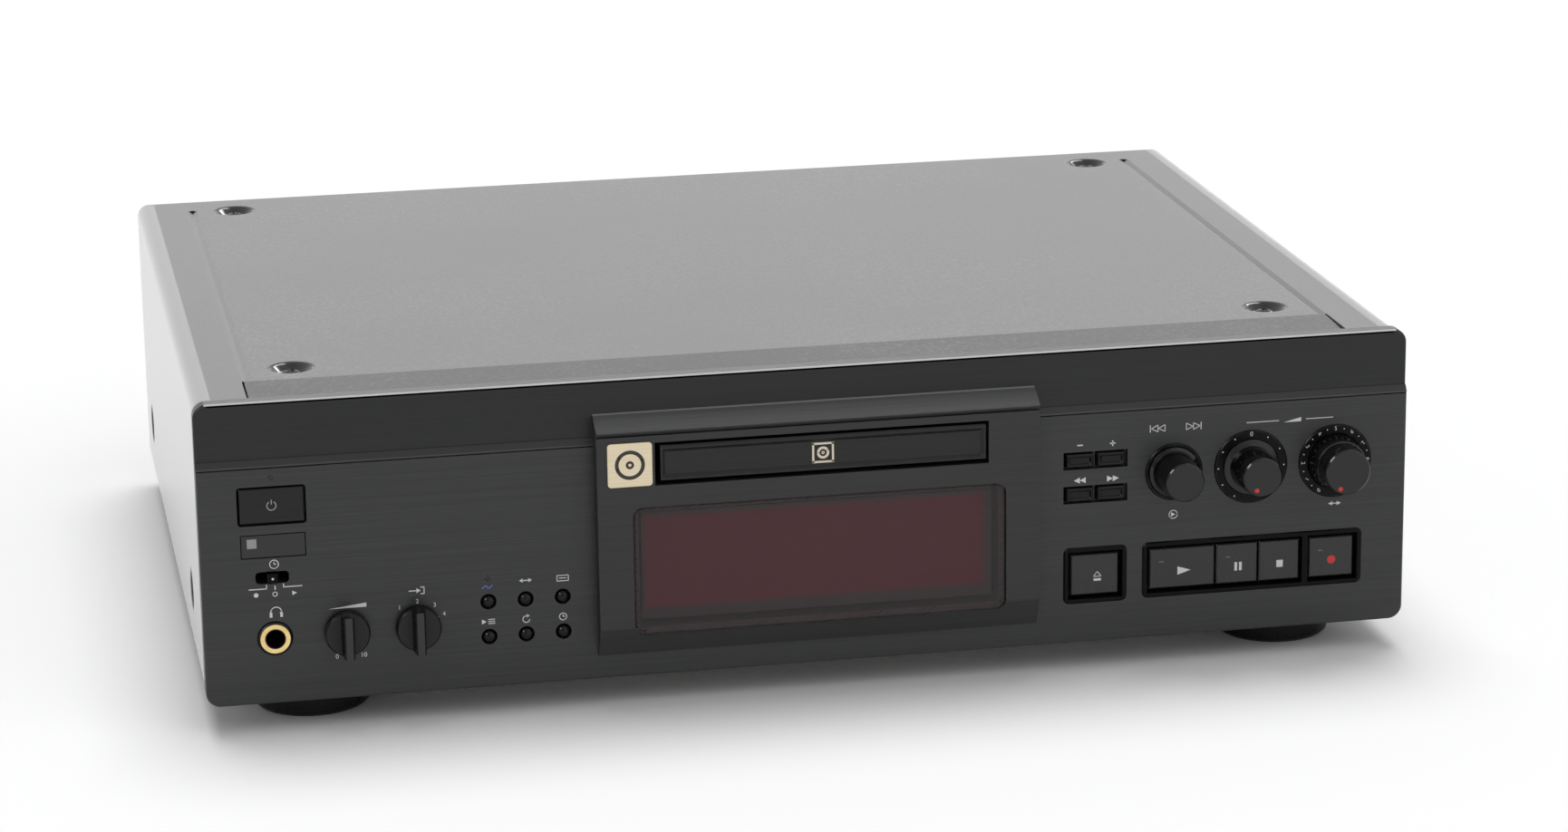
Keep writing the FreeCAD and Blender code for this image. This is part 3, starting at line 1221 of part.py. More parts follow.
def mechanism_frame():
    """The frame that carries the tray in grooves and holds the drive's axles."""
    pieces = [box(-WALL_OUTER, WALL_OUTER, FRAME_FRONT, FRAME_END, DECK_BOTTOM, DECK_TOP)]
    pieces += mirrored_boxes(WALL_INNER, WALL_OUTER, FRAME_FRONT, FRAME_END, DECK_TOP, WALL_TOP)
    for y in (FRAME_FRONT + LEG_IN, FRAME_END - LEG_IN - LEG):
        pieces += mirrored_boxes(WALL_OUTER - LEG, WALL_OUTER, y, y + LEG, FLOOR_TOP, DECK_BOTTOM)
    bridge_top, bridge_end = WALL_TOP + DECK_THICK, BRIDGE_FRONT + BRIDGE_LONG
    pieces.append(box(-WALL_OUTER, WALL_OUTER, BRIDGE_FRONT, bridge_end, WALL_TOP, bridge_top))
    pieces += [post(AXLE_X, y, AXLE_R, DECK_TOP - 1, TRAY_BOTTOM - GAP) for y in (AXLE_Y, SECOND_AXLE_Y)]
    runner = TRAY_BOTTOM + RUNNER_UP
    cutters = mirrored_boxes(WALL_INNER - 1, TRAY_HALF + RUNNER_OUT + GAP, FRAME_FRONT - 1, TRAY_BACK + GAP,
                             runner - GAP, runner + RUNNER_TALL + GAP)
    cutters.append(post(MOTOR_X, MOTOR_Y, MOTOR_SHAFT_R + GAP, DECK_BOTTOM - 1, DECK_TOP + 1))
    hole_half = DRIVE_HALF - DRIVE_HOLE_IN
    hole_front, hole_end = DRIVE_FRONT + 2 * DRIVE_HOLE_IN, DRIVE_END - 2 * DRIVE_HOLE_IN
    cutters.append(box(-hole_half, hole_half, hole_front, hole_end, DECK_BOTTOM - 1, DECK_TOP + 1))
    return joined(pieces).cut(cutters)


# ---- disc drive unit ----

def drive_base():
    """The base of the disc drive, which rises to bring the turntable up to the disc."""
    pieces = [box(-DRIVE_HALF, DRIVE_HALF, DRIVE_FRONT, DRIVE_END, BASE_Z, BASE_TOP)]
    half = ROD_R + 1
    for y in (ROD_FRONT, ROD_END - ROD_BLOCK):
        pieces += mirrored_boxes(ROD_X - half, ROD_X + half, y, y + ROD_BLOCK, BASE_TOP, ROD_Z + half)
    return joined(pieces)


def guide_rods():
    front, end = ROD_FRONT + ROD_BLOCK, ROD_END - ROD_BLOCK
    return group([rod(side * ROD_X, ROD_Z, ROD_R, front, end) for side in (-1, 1)])


def spindle_motor():
    top = TRAY_BOTTOM - SPINDLE_DROP
    can = post(0, SPINDLE_Y, SPINDLE_R, BASE_TOP, top)
    return can.fuse(post(0, SPINDLE_Y, MOTOR_SHAFT_R, top, top + GAP + TABLE_THICK))


def turntable():
    """The disc table with its centring nose, on the spindle motor's shaft."""
    low = TRAY_BOTTOM - SPINDLE_DROP + GAP
    table, nose = low + TABLE_THICK, low + TABLE_THICK + NOSE_TALL
    bore = MOTOR_SHAFT_R + RUNNING
    return turned_up(0, SPINDLE_Y, [(low, bore), (low, TABLE_R), (table, TABLE_R), (table, NOSE_R),
                                    (nose, NOSE_R - 1), (nose, bore)])


def pickup_sled():
    """The laser pickup: a block on two rods, with its lens on top."""
    low, high = ROD_Z - ROD_R - 1, ROD_Z + ROD_R + 1.3
    end = SLED_FRONT + SLED_DEPTH
    body = box(-ROD_X - 3, ROD_X + 3, SLED_FRONT, end, low, high)
    body = body.cut([rod(side * ROD_X, ROD_Z, ROD_R + RUNNING, SLED_FRONT - 1, end + 1) for side in (-1, 1)])
    return body.fuse(post(0, SLED_FRONT + LENS_IN, LENS_R, high, high + 2))


# ---- every node of the part ----

def nodes():
    parts = {
        "chassis_base": chassis_base(),
        "top_cover": top_cover(),
        "rear_panel": rear_panel(),
        "feet": feet(),
        "front_frame": front_frame(),
        "lower_panel": lower_panel(),
        "upper_band": upper_band(),
        "display_block": display_block(),
        "display_window": display_window(),
        "display_tube": display_tube(),
        "badge_plate": badge_plate(),
        "remote_window": remote_window(),
        "button_surrounds": button_surrounds(),
        "dial_rings": dial_rings(),
        "headphone_socket": headphone_socket(),
        "front_boards": front_boards(),
        "power_board": power_board(),
        "main_board": main_board(),
        "transformer": transformer(),
        "phono_jacks": phono_jacks(),
        "optical_sockets": optical_sockets(),
        "mains_inlet": mains_inlet(),
        "mechanism_frame": mechanism_frame(),
        "loading_motor": loading_motor(),
        "motor_pulley": motor_pulley(),
        "drive_belt": drive_belt(),
        "pulley_gear": pulley_gear(),
        "tray_gear": tray_gear(),
        "tray": tray(),
        "tray_front": tray_front(),
        "drive_base": drive_base(),
        "guide_rods": guide_rods(),
        "spindle_motor": spindle_motor(),
        "turntable": turntable(),
        "pickup_sled": pickup_sled(),
        "power_button": power_button(),
        "timer_knob": timer_knob(),
        "phone_level_knob": small_knob(SMALL_KNOB_X[0]),
        "input_knob": small_knob(SMALL_KNOB_X[1]),
        "jog_shaft": jog_shaft(),
        "jog_knob": jog_knob(),
        "digital_level_knob": digital_knob(),
        "analog_front_knob": analog_front_knob(),
        "analog_rear_knob": analog_rear_knob(),
    }
    for name, (left, right, z, height) in key_spans().items():
        parts[name + "_key"] = wide_key(left, right, z, height)
    for number, (x, z) in enumerate(round_places(), 1):
        parts[f"round_button_{number}"] = round_button(x, z)
    for number, (x, z) in enumerate(pair_places(), 1):
        parts[f"pair_button_{number}"] = pair_button(x, z)
    return parts


def save(name, shape):
    """Writes one node's STEP file, in the part's own frame."""
    placed = shape.copy()
    placed.translate(V(0, FRONT_Y, FOOT_DROP))
    placed.exportStep(f"parts/{name}.step")


def main():
    os.makedirs("parts", exist_ok=True)
    for name, shape in nodes().items():
        save(name, shape)


if __name__ == "__main__":
    main()
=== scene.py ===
import json
import math

import bmesh
import bpy
from mathutils import Matrix, Vector


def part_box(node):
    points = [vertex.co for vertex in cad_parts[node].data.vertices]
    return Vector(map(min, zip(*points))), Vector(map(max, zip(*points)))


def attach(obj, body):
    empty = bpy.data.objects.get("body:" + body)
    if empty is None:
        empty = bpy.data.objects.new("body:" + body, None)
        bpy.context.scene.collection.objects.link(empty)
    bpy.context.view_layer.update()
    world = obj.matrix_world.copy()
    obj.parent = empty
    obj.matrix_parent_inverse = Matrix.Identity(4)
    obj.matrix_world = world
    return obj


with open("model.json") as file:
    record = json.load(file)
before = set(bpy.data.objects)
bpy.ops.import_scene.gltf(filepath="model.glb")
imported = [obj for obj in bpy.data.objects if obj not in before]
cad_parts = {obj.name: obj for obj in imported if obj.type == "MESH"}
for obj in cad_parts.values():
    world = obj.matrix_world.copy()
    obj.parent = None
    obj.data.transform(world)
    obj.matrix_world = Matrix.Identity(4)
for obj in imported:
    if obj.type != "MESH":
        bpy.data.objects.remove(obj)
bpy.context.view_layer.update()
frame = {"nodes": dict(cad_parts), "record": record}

MM = 0.001
FASCIA_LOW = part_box("lower_panel")[0]
COVER_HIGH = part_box("top_cover")[1]
FAR = 400.0  # past every piece, for a mask that is open on that side

# Places on the pieces, in millimetres off the fascia's centre line, face and lower edge.
DISH_X, DISH_Y = 177.0, (49.5, 301.0)  # screw dishes in the cover's top
SIDE_DISH_Y, SIDE_DISH_Z = (61.0, 285.0), 23.9  # screw dishes in its sides
DISH_R, DISH_DEEP = 8.3, 2.9
SIDE_X = 208.0  # the cover's fold into its sides
STRIP_X, STRIP_END, STRIP_Z = 194.8, 34.0, 104.9  # sloping strip at the cover's front
GROOVES, GROOVE_WIDE = (-195.4, 191.8), 1.6  # left edges of the grooves along its top, and the width of the painted shade on their left walls
GROOVE_ENDS, MARGIN_X = (34.5, 302.5), 193.6
BAND_TOP = (-211, 0, 106.95), (211, 20, 120)
BAND_BEVEL = (-FAR, -FAR, 84), (FAR, 1.75, 87.05)  # slope at the band's lower edge, painted lighter for the light it catches
# foot of that slope, where a painted highlight line runs; above the slope, a painted shadow line
BAND_FOOT_HIGHLIGHT = (-FAR, -FAR, 84), (FAR, 1.75, 85.1)
BAND_SHADOW = (-FAR, 1.5, 87.1), (FAR, 2.2, 87.6)
WELL = (-66.2, -5, 16.6), (66.2, 7, 63.0)  # walls round the display, behind the pane
VISOR = (-79, -8, 89.9), (79, 2.5, 96)  # slope over the tray
# top edge of the visor, where a painted highlight runs
VISOR_CREST = (-79, 1.0, 94.9), (79, 2.5, 96)
VISOR_WAY = (0, -0.478, 0.878)  # which way the slope faces
GRIP_BACK = -3.6  # where the pointer knobs' grips begin
GRID_LOW, GRID_HIGH = (-61.5, 24.8), (59.7, 57.9)  # the display's red grid, x and z
PHONES = (-190.5, 23.5)
PHONO_PAIRS = (-62.0, -32.0)
PHONO_LOW, PHONO_HIGH = 34.0, 52.0

# Thicknesses in the same millimetres.
INK = 0.04  # printing
LINE = 0.28  # thin printed lines
TRAY_HOLLOW = 1.3  # floor of the hollow in the tray's front, behind its lip
BAND_BACK = 1.6  # face of the band, behind the foot of its sloping edge
DOME_R, DOME_SLOPE = 1.8, math.radians(46)  # a round button's dome: its foot, its slope there
DOME_SEAT = 0.3  # how far the foot is let into the button


# ------------ places

def at(x, y, z):
    """A point in metres, from millimetres off the fascia's centre line, face and lower edge."""
    return Vector((x * MM, FASCIA_LOW.y + y * MM, FASCIA_LOW.z + z * MM))


def middle(node):
    """Centre of a node, in the same millimetres that at() takes."""
    low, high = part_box(node)
    half = (low + high) / 2
    return Vector((half.x, half.y - FASCIA_LOW.y, half.z - FASCIA_LOW.z)) / MM


def face_of(node):
    """How far a node's front stands behind the fascia's face, in millimetres."""
    return (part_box(node)[0].y - FASCIA_LOW.y) / MM


# ------------ node trees

def add(tree, kind, inputs=None, **settings):
    """A shader node of that kind; inputs are values or sockets to link from."""
    node = tree.nodes.new("ShaderNode" + kind)
    for name, value in settings.items():
        setattr(node, name, value)
    for key, value in (inputs or {}).items():
        if isinstance(value, bpy.types.NodeSocket):
            tree.links.new(value, node.inputs[key])
        else:
            node.inputs[key].default_value = value
    return node


def maths(tree, operation, value, *others, clamp=False):
    """The operation on a value and each of the others in turn."""
    for other in others:
        value = add(tree, "Math", {0: value, 1: other}, operation=operation,
                    use_clamp=clamp).outputs[0]
    return value


def vectors(tree, operation, *inputs):
    """Vector maths; a length or a dot product comes out as one number."""
    node = add(tree, "VectorMath", dict(enumerate(inputs)), operation=operation)
    return node.outputs["Value" if operation in ("LENGTH", "DOT_PRODUCT") else "Vector"]


def spread(tree, value, low, high, to_low=0.0, to_high=1.0):
    """Stretches the range low..high of a value over to_low..to_high."""
    inputs = {"Value": value, "From Min": low, "From Max": high,
              "To Min": to_low, "To Max": to_high}
    return add(tree, "MapRange", inputs).outputs[0]


def soft_step(tree, depth, soft):
    """0 to 1 as a depth passes zero, over a width of soft."""
    return maths(tree, "ADD", maths(tree, "DIVIDE", depth, soft), 0.5, clamp=True)


def own_place(tree):
    """The shaded point in its piece's own space."""
    return add(tree, "TexCoord").outputs["Object"]


def noise(tree, place, scale, detail, roughness=0.5, distortion=0.0):
    return add(tree, "TexNoise",
               {"Vector": place, "Scale": scale, "Detail": detail,
                "Roughness": roughness, "Distortion": distortion}).outputs[0]


def hairline(tree, given):
    """Long fine scratches, drawn out along the axis with the lowest fineness."""
    drawn = vectors(tree, "MULTIPLY", own_place(tree), given["Fineness"])
    return {"Lines": spread(tree, noise(tree, drawn, 1.0, 3.0, 0.65), 0.32, 0.68)}


def speckle(tree, given):
    """Fine grains, as in powder paint or a moulded surface, and broad clouds."""
    place = own_place(tree)
    return {"Grains": spread(tree, noise(tree, place, given["Scale"], 2.0, 0.55), 0.3, 0.7),
            "Clouds": spread(tree, noise(tree, place, 14.0, 4.0, 0.6), 0.3, 0.7)}


def rubbed_edges(tree, given):
    """Softened edges for a Bump to start from, and a mask of where they are rubbed."""
    rounded = add(tree, "Bevel", {"Radius": given["Radius"]}, samples=4).outputs[0]
    flat = add(tree, "NewGeometry").outputs
    turned = spread(tree, vectors(tree, "DOT_PRODUCT", rounded, flat["Normal"]), 0.985, 0.86)
    patchy = spread(tree, noise(tree, flat["Position"], 260.0, 3.0), 0.4, 0.62)
    return {"Rubbed": maths(tree, "MULTIPLY", turned, patchy, clamp=True), "Normal": rounded}


def settled_dust(tree, given):
    """Mask of the faint dust that settles on whatever faces up."""
    flat = add(tree, "NewGeometry").outputs
    up = add(tree, "SeparateXYZ", {0: flat["Normal"]}).outputs["Z"]
    motes = spread(tree, noise(tree, flat["Position"], 700.0, 2.0), 0.5, 0.75)
    drift = spread(tree, noise(tree, flat["Position"], 9.0, 3.0), 0.3, 0.7)
    lying = maths(tree, "MULTIPLY", spread(tree, up, 0.5, 1.0),
                  maths(tree, "MULTIPLY", motes, drift))
    return {"Dust": maths(tree, "MULTIPLY", lying, given["Amount"], clamp=True)}


def handling_smudges(tree, given):
    """Cloudy mask of handling marks, to vary a gloss."""
    marks = noise(tree, own_place(tree), given["Scale"], 5.0, 0.7, 0.8)
    return {"Smudges": spread(tree, marks, 0.38, 0.7)}


def turned_rings(tree, given):
    """Rings left by the lathe round a piece's own centre; Across masks out the axis."""
    place = add(tree, "TexCoord").outputs["Generated"]
    offset = vectors(tree, "SUBTRACT", place, (0.5, 0.5, 0.5))
    radius = vectors(tree, "LENGTH", vectors(tree, "MULTIPLY", offset, given["Across"]))
    ridges = add(tree, "TexNoise", {"W": maths(tree, "MULTIPLY", radius, given["Rings"]),
                                    "Scale": 1.0, "Detail": 2.0}, noise_dimensions="1D")
    return {"Ridges": spread(tree, ridges.outputs[0], 0.3, 0.7)}


def within_box(tree, given):
    """1 inside a box of a piece's own space, fading over Soft at its sides."""
    place = own_place(tree)
    above = vectors(tree, "SUBTRACT", place, given["Low"])
    below = vectors(tree, "SUBTRACT", given["High"], place)
    depth = add(tree, "SeparateXYZ", {0: vectors(tree, "MINIMUM", above, below)}).outputs
    nearest = maths(tree, "MINIMUM", *depth)
    return {"Inside": soft_step(tree, nearest, given["Soft"])}


def near_axis(tree, given):
    """1 within Radius of an axis through Centre; Across masks out the axis, Fold mirrors."""
    place = own_place(tree)
    moved = vectors(tree, "SUBTRACT", vectors(tree, "ABSOLUTE", place), place)
    folded = vectors(tree, "MULTIPLY_ADD", moved, given["Fold"], place)
    offset = vectors(tree, "SUBTRACT", folded, given["Centre"])
    distance = vectors(tree, "LENGTH", vectors(tree, "MULTIPLY", offset, given["Across"]))
    depth = maths(tree, "SUBTRACT", given["Radius"], distance)
    return {"Inside": soft_step(tree, depth, given["Soft"])}


def facing(tree, given):
    """1 where a surface faces Way, 0 where it turns from it."""
    normal = add(tree, "TexCoord").outputs["Normal"]
    agree = vectors(tree, "DOT_PRODUCT", normal, given["Way"])
    return {"Facing": soft_step(tree, maths(tree, "SUBTRACT", agree, given["Least"]), 0.04)}


def node_group(effect, **inputs):
    """The node group of an effect, with named inputs and outputs."""
    tree = bpy.data.node_groups.new(effect.__name__, "ShaderNodeTree")
    kinds = {"VALUE": "NodeSocketFloat", "VECTOR": "NodeSocketVector"}
    for name, value in inputs.items():
        kind = kinds["VECTOR" if isinstance(value, tuple) else "VALUE"]
        socket = tree.interface.new_socket(name=name, in_out="INPUT", socket_type=kind)
        socket.default_value = value
    made = effect(tree, tree.nodes.new("NodeGroupInput").outputs)
    for name, source in made.items():
        tree.interface.new_socket(name=name, in_out="OUTPUT", socket_type=kinds[source.type])
    result = tree.nodes.new("NodeGroupOutput").inputs
    for name, source in made.items():
        tree.links.new(source, result[name])
    return tree


GROUPS = {group.name: group for group in (
    node_group(hairline, Fineness=(6, 900, 1400)),
    node_group(speckle, Scale=1500.0),
    node_group(rubbed_edges, Radius=0.0004),
    node_group(settled_dust, Amount=1.0),
    node_group(handling_smudges, Scale=60.0),
    node_group(turned_rings, Across=(1, 0, 1), Rings=40.0),
    node_group(within_box, Low=(0, 0, 0), High=(1, 1, 1), Soft=0.0002),
    node_group(near_axis, Centre=(0, 0, 0), Across=(1, 1, 0), Fold=(0, 0, 0), Radius=0.005,
               Soft=0.0002),
    node_group(facing, Way=(0, -1, 0), Least=0.9))}


class Finish:
    """A Principled material in the making; lengths in millimetres."""

    def __init__(self, name, roughness, **sockets):
        self.material = bpy.data.materials.new(name)
        self.material.use_nodes = True
        self.tree = self.material.node_tree
        self.shader = self.tree.nodes["Principled BSDF"]
        self.shader.inputs["Roughness"].default_value = roughness
        for key, value in sockets.items():
            self.shader.inputs[key.replace("_", " ")].default_value = value
        self.soft_normal = None

    def effect(self, group, **inputs):
        """Places one of the shared groups and gives its outputs."""
        node = self.tree.nodes.new("ShaderNodeGroup")
        node.node_tree = GROUPS[group]
        for key, value in inputs.items():
            node.inputs[key].default_value = value
        return node.outputs

    def lines(self, *fineness):
        return self.effect("hairline", Fineness=fineness)["Lines"]

    def speckle(self, scale):
        """Masks of the grains and of the clouds."""
        given = self.effect("speckle", Scale=scale)
        return given["Grains"], given["Clouds"]

    def smudges(self, scale):
        return self.effect("handling_smudges", Scale=scale)["Smudges"]

    def dust(self, amount):
        return self.effect("settled_dust", Amount=amount)["Dust"]

    def rings(self, count, across):
        return self.effect("turned_rings", Across=across, Rings=count)["Ridges"]

    def facing(self, *way, least=0.9):
        return self.effect("facing", Way=way, Least=least)["Facing"]

    def soften(self, radius):
        """Rounds the edges under the relief, and gives the mask of where they are rubbed."""
        given = self.effect("rubbed_edges", Radius=radius * MM)
        self.soft_normal = given["Normal"]
        return given["Rubbed"]

    def inside(self, low, high, soft):
        """Mask of a box, its corners given as at() takes them."""
        return self.effect("within_box", Low=at(*low), High=at(*high), Soft=soft * MM)["Inside"]

    def window(self, low, high, soft):
        """Mask of a box that is open to the front and back, its corners as x and z."""
        return self.inside((low[0], -FAR, low[1]), (high[0], FAR, high[1]), soft)

    def about(self, centre, across, radius, soft=0.15, fold=(0, 0, 0)):
        """Mask of a cylinder round a point given as at() takes it."""
        return self.effect("near_axis", Centre=at(*centre), Across=across, Fold=fold,
                           Radius=radius * MM, Soft=soft * MM)["Inside"]

    def either(self, *masks):
        """The strongest of several masks."""
        return maths(self.tree, "MAXIMUM", *masks)

    def both(self, first, second):
        """Where two masks meet."""
        return maths(self.tree, "MULTIPLY", first, second)

    def outside(self, mask):
        return maths(self.tree, "SUBTRACT", 1.0, mask)

    def blend(self, mask, first, second):
        """One colour going over to another as a mask goes from 0 to 1."""
        pair = [colour if isinstance(colour, bpy.types.NodeSocket) else (*colour, 1.0)
                for colour in (first, second)]
        return add(self.tree, "Mix", {0: mask, 6: pair[0], 7: pair[1]},
                   data_type="RGBA").outputs[2]

    def mix(self, mask, first, second, share=1.0):
        """The same, at most by that share."""
        return self.blend(maths(self.tree, "MULTIPLY", mask, share), first, second)

    def drive(self, socket, value):
        self.tree.links.new(value, self.shader.inputs[socket])

    def colour(self, source):
        self.drive("Base Color", source)

    def patched(self, value, *patches):
        """A number, with other numbers under masks."""
        for mask, other in patches:
            value = spread(self.tree, mask, 0.0, 1.0, value, other)
        return value

    def gloss(self, value, smooth, rough, *patches):
        """Roughness from smooth to rough with the value, and other roughnesses under masks."""
        self.drive("Roughness", self.patched(smooth, (value, rough), *patches))

    def relief(self, height, depth, strength):
        """Bump of that depth, from the softened edges where there are any."""
        inputs = {"Height": height, "Distance": depth * MM, "Strength": strength}
        if self.soft_normal is not None:
            inputs["Normal"] = self.soft_normal
        bump = add(self.tree, "Bump", inputs)
        self.drive("Normal", bump.outputs[0])


# ------------ finishes

def grey(shade):
    return (shade, shade, shade)


BARE_STEEL = grey(0.2)
BARE_ALUMINIUM = grey(0.12)
DUST = (0.42, 0.41, 0.4)
BRUSHED = (10, 900, 2400)  # fineness of the fascia's brushing, which runs along it
ROUND_Y, ROUND_X, ROUND_Z = (1, 0, 1), (0, 1, 1), (1, 1, 0)  # what is across each axis


def panel_paint():
    """Black stoved paint on steel sheet: an orange-peel skin with a soft sheen."""
    coat = Finish("panel_satin_paint", 0.42, IOR=1.5)
    grains, clouds = coat.speckle(1600.0)
    rubbed = coat.soften(0.8)
    base = coat.blend(clouds, (0.022, 0.0225, 0.023), (0.03, 0.0305, 0.031))
    base = coat.mix(rubbed, base, BARE_STEEL, 0.3)
    coat.colour(coat.mix(coat.dust(0.3), base, DUST))
    coat.gloss(grains, 0.36, 0.46)
    coat.relief(grains, 0.012, 0.5)
    return coat.material


def cover_paint():
    """The cover's satin paint with its clear sheen, flatter on the strip, glossy in the dishes; its
    lighter sides and margins are painted reflection, and dark strips in the grooves are painted
    shade.
    """
    coat = Finish("cover_satin_paint", 0.4, IOR=1.5, Coat_Weight=1.0, Coat_Roughness=0.32,
                  Coat_IOR=1.5, Sheen_Weight=0.22, Sheen_Roughness=0.45)
    side = coat.outside(coat.inside((-SIDE_X, -FAR, -FAR), (SIDE_X, FAR, FAR), 0.5))
    high = coat.inside((-FAR, -FAR, 90), (FAR, FAR, FAR), 0.5)
    top_dishes = coat.either(*(coat.about((DISH_X, y, 0), ROUND_Z, DISH_R, 0.5, (1, 0, 0))
                               for y in DISH_Y))
    side_dishes = coat.either(*(coat.about((0, y, SIDE_DISH_Z), ROUND_X, DISH_R, 0.5)
                                for y in SIDE_DISH_Y))
    bowls = coat.either(coat.both(top_dishes, high), coat.both(side_dishes, side))
    strip = coat.inside((-STRIP_X, -FAR, STRIP_Z), (STRIP_X, STRIP_END, FAR), 0.2)
    painted_light_margins = coat.outside(coat.inside((-MARGIN_X, -FAR, -FAR), (MARGIN_X, FAR, FAR), 2.0))
    near, far = GROOVE_ENDS
    grooves = coat.either(*(coat.inside((x, near, 104), (x + GROOVE_WIDE, far, 107), 0.15)
                            for x in GROOVES))
    grains, clouds = coat.speckle(1600.0)
    rubbed = coat.soften(0.6)
    base = coat.blend(clouds, (0.019, 0.0195, 0.021), (0.026, 0.0265, 0.028))
    base = coat.mix(rubbed, base, BARE_STEEL, 0.2)
    base = coat.mix(coat.dust(0.3), base, DUST)
    # painted light: the narrow margins beyond the grooves get a lighter base for the light they
    # catch
    base = coat.mix(painted_light_margins, base, (0.035, 0.035, 0.037))
    # painted reflection: the cover's sides get a light grey base that copies the grazing reflection
    # they catch
    base = coat.mix(side, base, (0.165, 0.165, 0.164))
    # painted shade: the left wall of each groove is darkened
    base = coat.mix(grooves, base, grey(0.012))
    coat.colour(coat.mix(bowls, base, grey(0.003)))
    coat.gloss(grains, 0.34, 0.44, (side, 0.2), (bowls, 0.08))
    clear = coat.patched(0.82, (side, 1.0), (bowls, 0.0), (strip, 0.28))
    coat.drive("Coat Weight", clear)
    coat.relief(grains, 0.008, 0.4)
    return coat.material


def hairline_black(name, dark, light, ior=1.45):
    """Black anodised aluminium, brushed along its length."""
    metal = Finish(name, 0.43, IOR=ior)
    lines = metal.lines(*BRUSHED)
    base = metal.blend(lines, dark, light)
    metal.colour(metal.mix(metal.soften(0.4), base, BARE_ALUMINIUM, 0.35))
    metal.gloss(metal.smudges(18.0), 0.33, 0.43)
    metal.relief(lines, 0.02, 0.35)
    return metal.material


def block_black():
    """The raised block: brushed along, with a lighter visor slope and a bright crest that are
    painted light, and a reddish wall round the display.
    """
    metal = Finish("block_hairline", 0.38, IOR=1.45)
    lines = metal.lines(*BRUSHED)
    rubbed = metal.soften(0.4)
    well = metal.inside(*WELL, 0.1)
    visor = metal.both(metal.inside(*VISOR, 0.1), metal.facing(*VISOR_WAY))
    crest_highlight = metal.both(visor, metal.inside(*VISOR_CREST, 0.15))
    base = metal.blend(lines, (0.013, 0.0132, 0.0134), (0.021, 0.0215, 0.0218))
    base = metal.mix(rubbed, base, BARE_ALUMINIUM, 0.35)
    # painted light: the visor's upward slope gets a lighter base for the light it catches
    slope = metal.blend(lines, (0.052, 0.0525, 0.053), (0.066, 0.0665, 0.067))
    # painted highlight: a bright grey line along the visor's top edge
    base = metal.mix(crest_highlight, metal.mix(visor, base, slope), grey(0.19))
    metal.colour(metal.mix(well, base, (0.22, 0.145, 0.15)))
    metal.gloss(metal.smudges(18.0), 0.33, 0.43, (visor, 0.75))
    metal.relief(lines, 0.02, 0.35)
    return metal.material


def band_black():
    """The upper band: smoother and darker, with painted light along its edges: a lighter top, a
    painted highlight on the cut front edge, and a lighter bevel with painted lines.
    """
    metal = Finish("band_satin_black", 0.36, IOR=1.4)
    lines = metal.lines(6, 900, 1400)
    rubbed = metal.soften(0.3)
    high = metal.inside(*BAND_TOP, 0.08)
    upward = metal.facing(0, 0, 1)
    top = metal.both(high, upward)
    cut = metal.both(high, metal.outside(upward))
    base = metal.blend(lines, (0.009, 0.0095, 0.0105), (0.013, 0.0135, 0.0145))
    base = metal.mix(rubbed, base, grey(0.08), 0.2)
    # painted light: the band's upward top face gets a lighter base for the light it catches, with
    # some clear coat
    base = metal.mix(top, base, grey(0.05))
    # painted light on the band's lower edge: a lighter slope, a painted shadow line above it and a
    # painted highlight at its foot
    for place, colour in ((BAND_BEVEL, (0.024, 0.0245, 0.025)), (BAND_SHADOW, grey(0.001)),
                          (BAND_FOOT_HIGHLIGHT, (0.055, 0.055, 0.056))):
        base = metal.mix(metal.inside(*place, 0.1), base, colour)
    # painted highlight: the cut front edge above the band's face is given a bright grey
    metal.colour(metal.mix(cut, base, grey(0.55)))
    metal.drive("Coat Weight", metal.patched(0.0, (top, 0.4)))
    metal.gloss(metal.smudges(16.0), 0.34, 0.42, (cut, 0.5))
    metal.relief(lines, 0.012, 0.3)
    return metal.material


def moulded_black(name, shade, smooth, rough, ior):
    """Black plastic with the fine spark texture of its mould."""
    plastic = Finish(name, rough, IOR=ior)
    grains, clouds = plastic.speckle(2400.0)
    base = plastic.blend(clouds, grey(shade), grey(shade * 1.3))
    plastic.colour(plastic.mix(plastic.soften(0.3), base, grey(0.07), 0.3))
    plastic.gloss(grains, smooth, rough)
    plastic.relief(grains, 0.01, 0.5)
    return plastic.material


def key_black(name, shade, edge_wear_and_highlight, smooth, rough, ior=1.46):
    """Smooth black caps, a little polished by fingers; their lighter rubbed edges are wear, and on
    the dial rings also a painted highlight.
    """
    cap = Finish(name, rough, IOR=ior)
    grains, clouds = cap.speckle(3000.0)
    base = cap.blend(clouds, grey(shade), grey(shade * 1.4))
    cap.colour(cap.mix(cap.soften(0.4), base, grey(edge_wear_and_highlight), 0.4))
    cap.gloss(cap.smudges(90.0), smooth, rough)
    cap.relief(grains, 0.004, 0.4)
    return cap.material


def knob_black():
    """Turned and anodised knobs: lathe rings on the satin face, a polished barrel."""
    metal = Finish("knob_turned_black", 0.3, IOR=1.42)
    ridges = metal.rings(110.0, ROUND_Y)
    face = metal.facing(0, -1, 0, least=0.96)
    turned = metal.blend(ridges, (0.008, 0.008, 0.0085), (0.013, 0.013, 0.0135))
    base = metal.mix(face, grey(0.005), turned)
    metal.colour(metal.mix(metal.soften(0.3), base, grey(0.14), 0.4))
    metal.gloss(ridges, 0.3, 0.38, (metal.outside(face), 0.1))
    metal.relief(metal.both(ridges, face), 0.008, 0.4)
    return metal.material


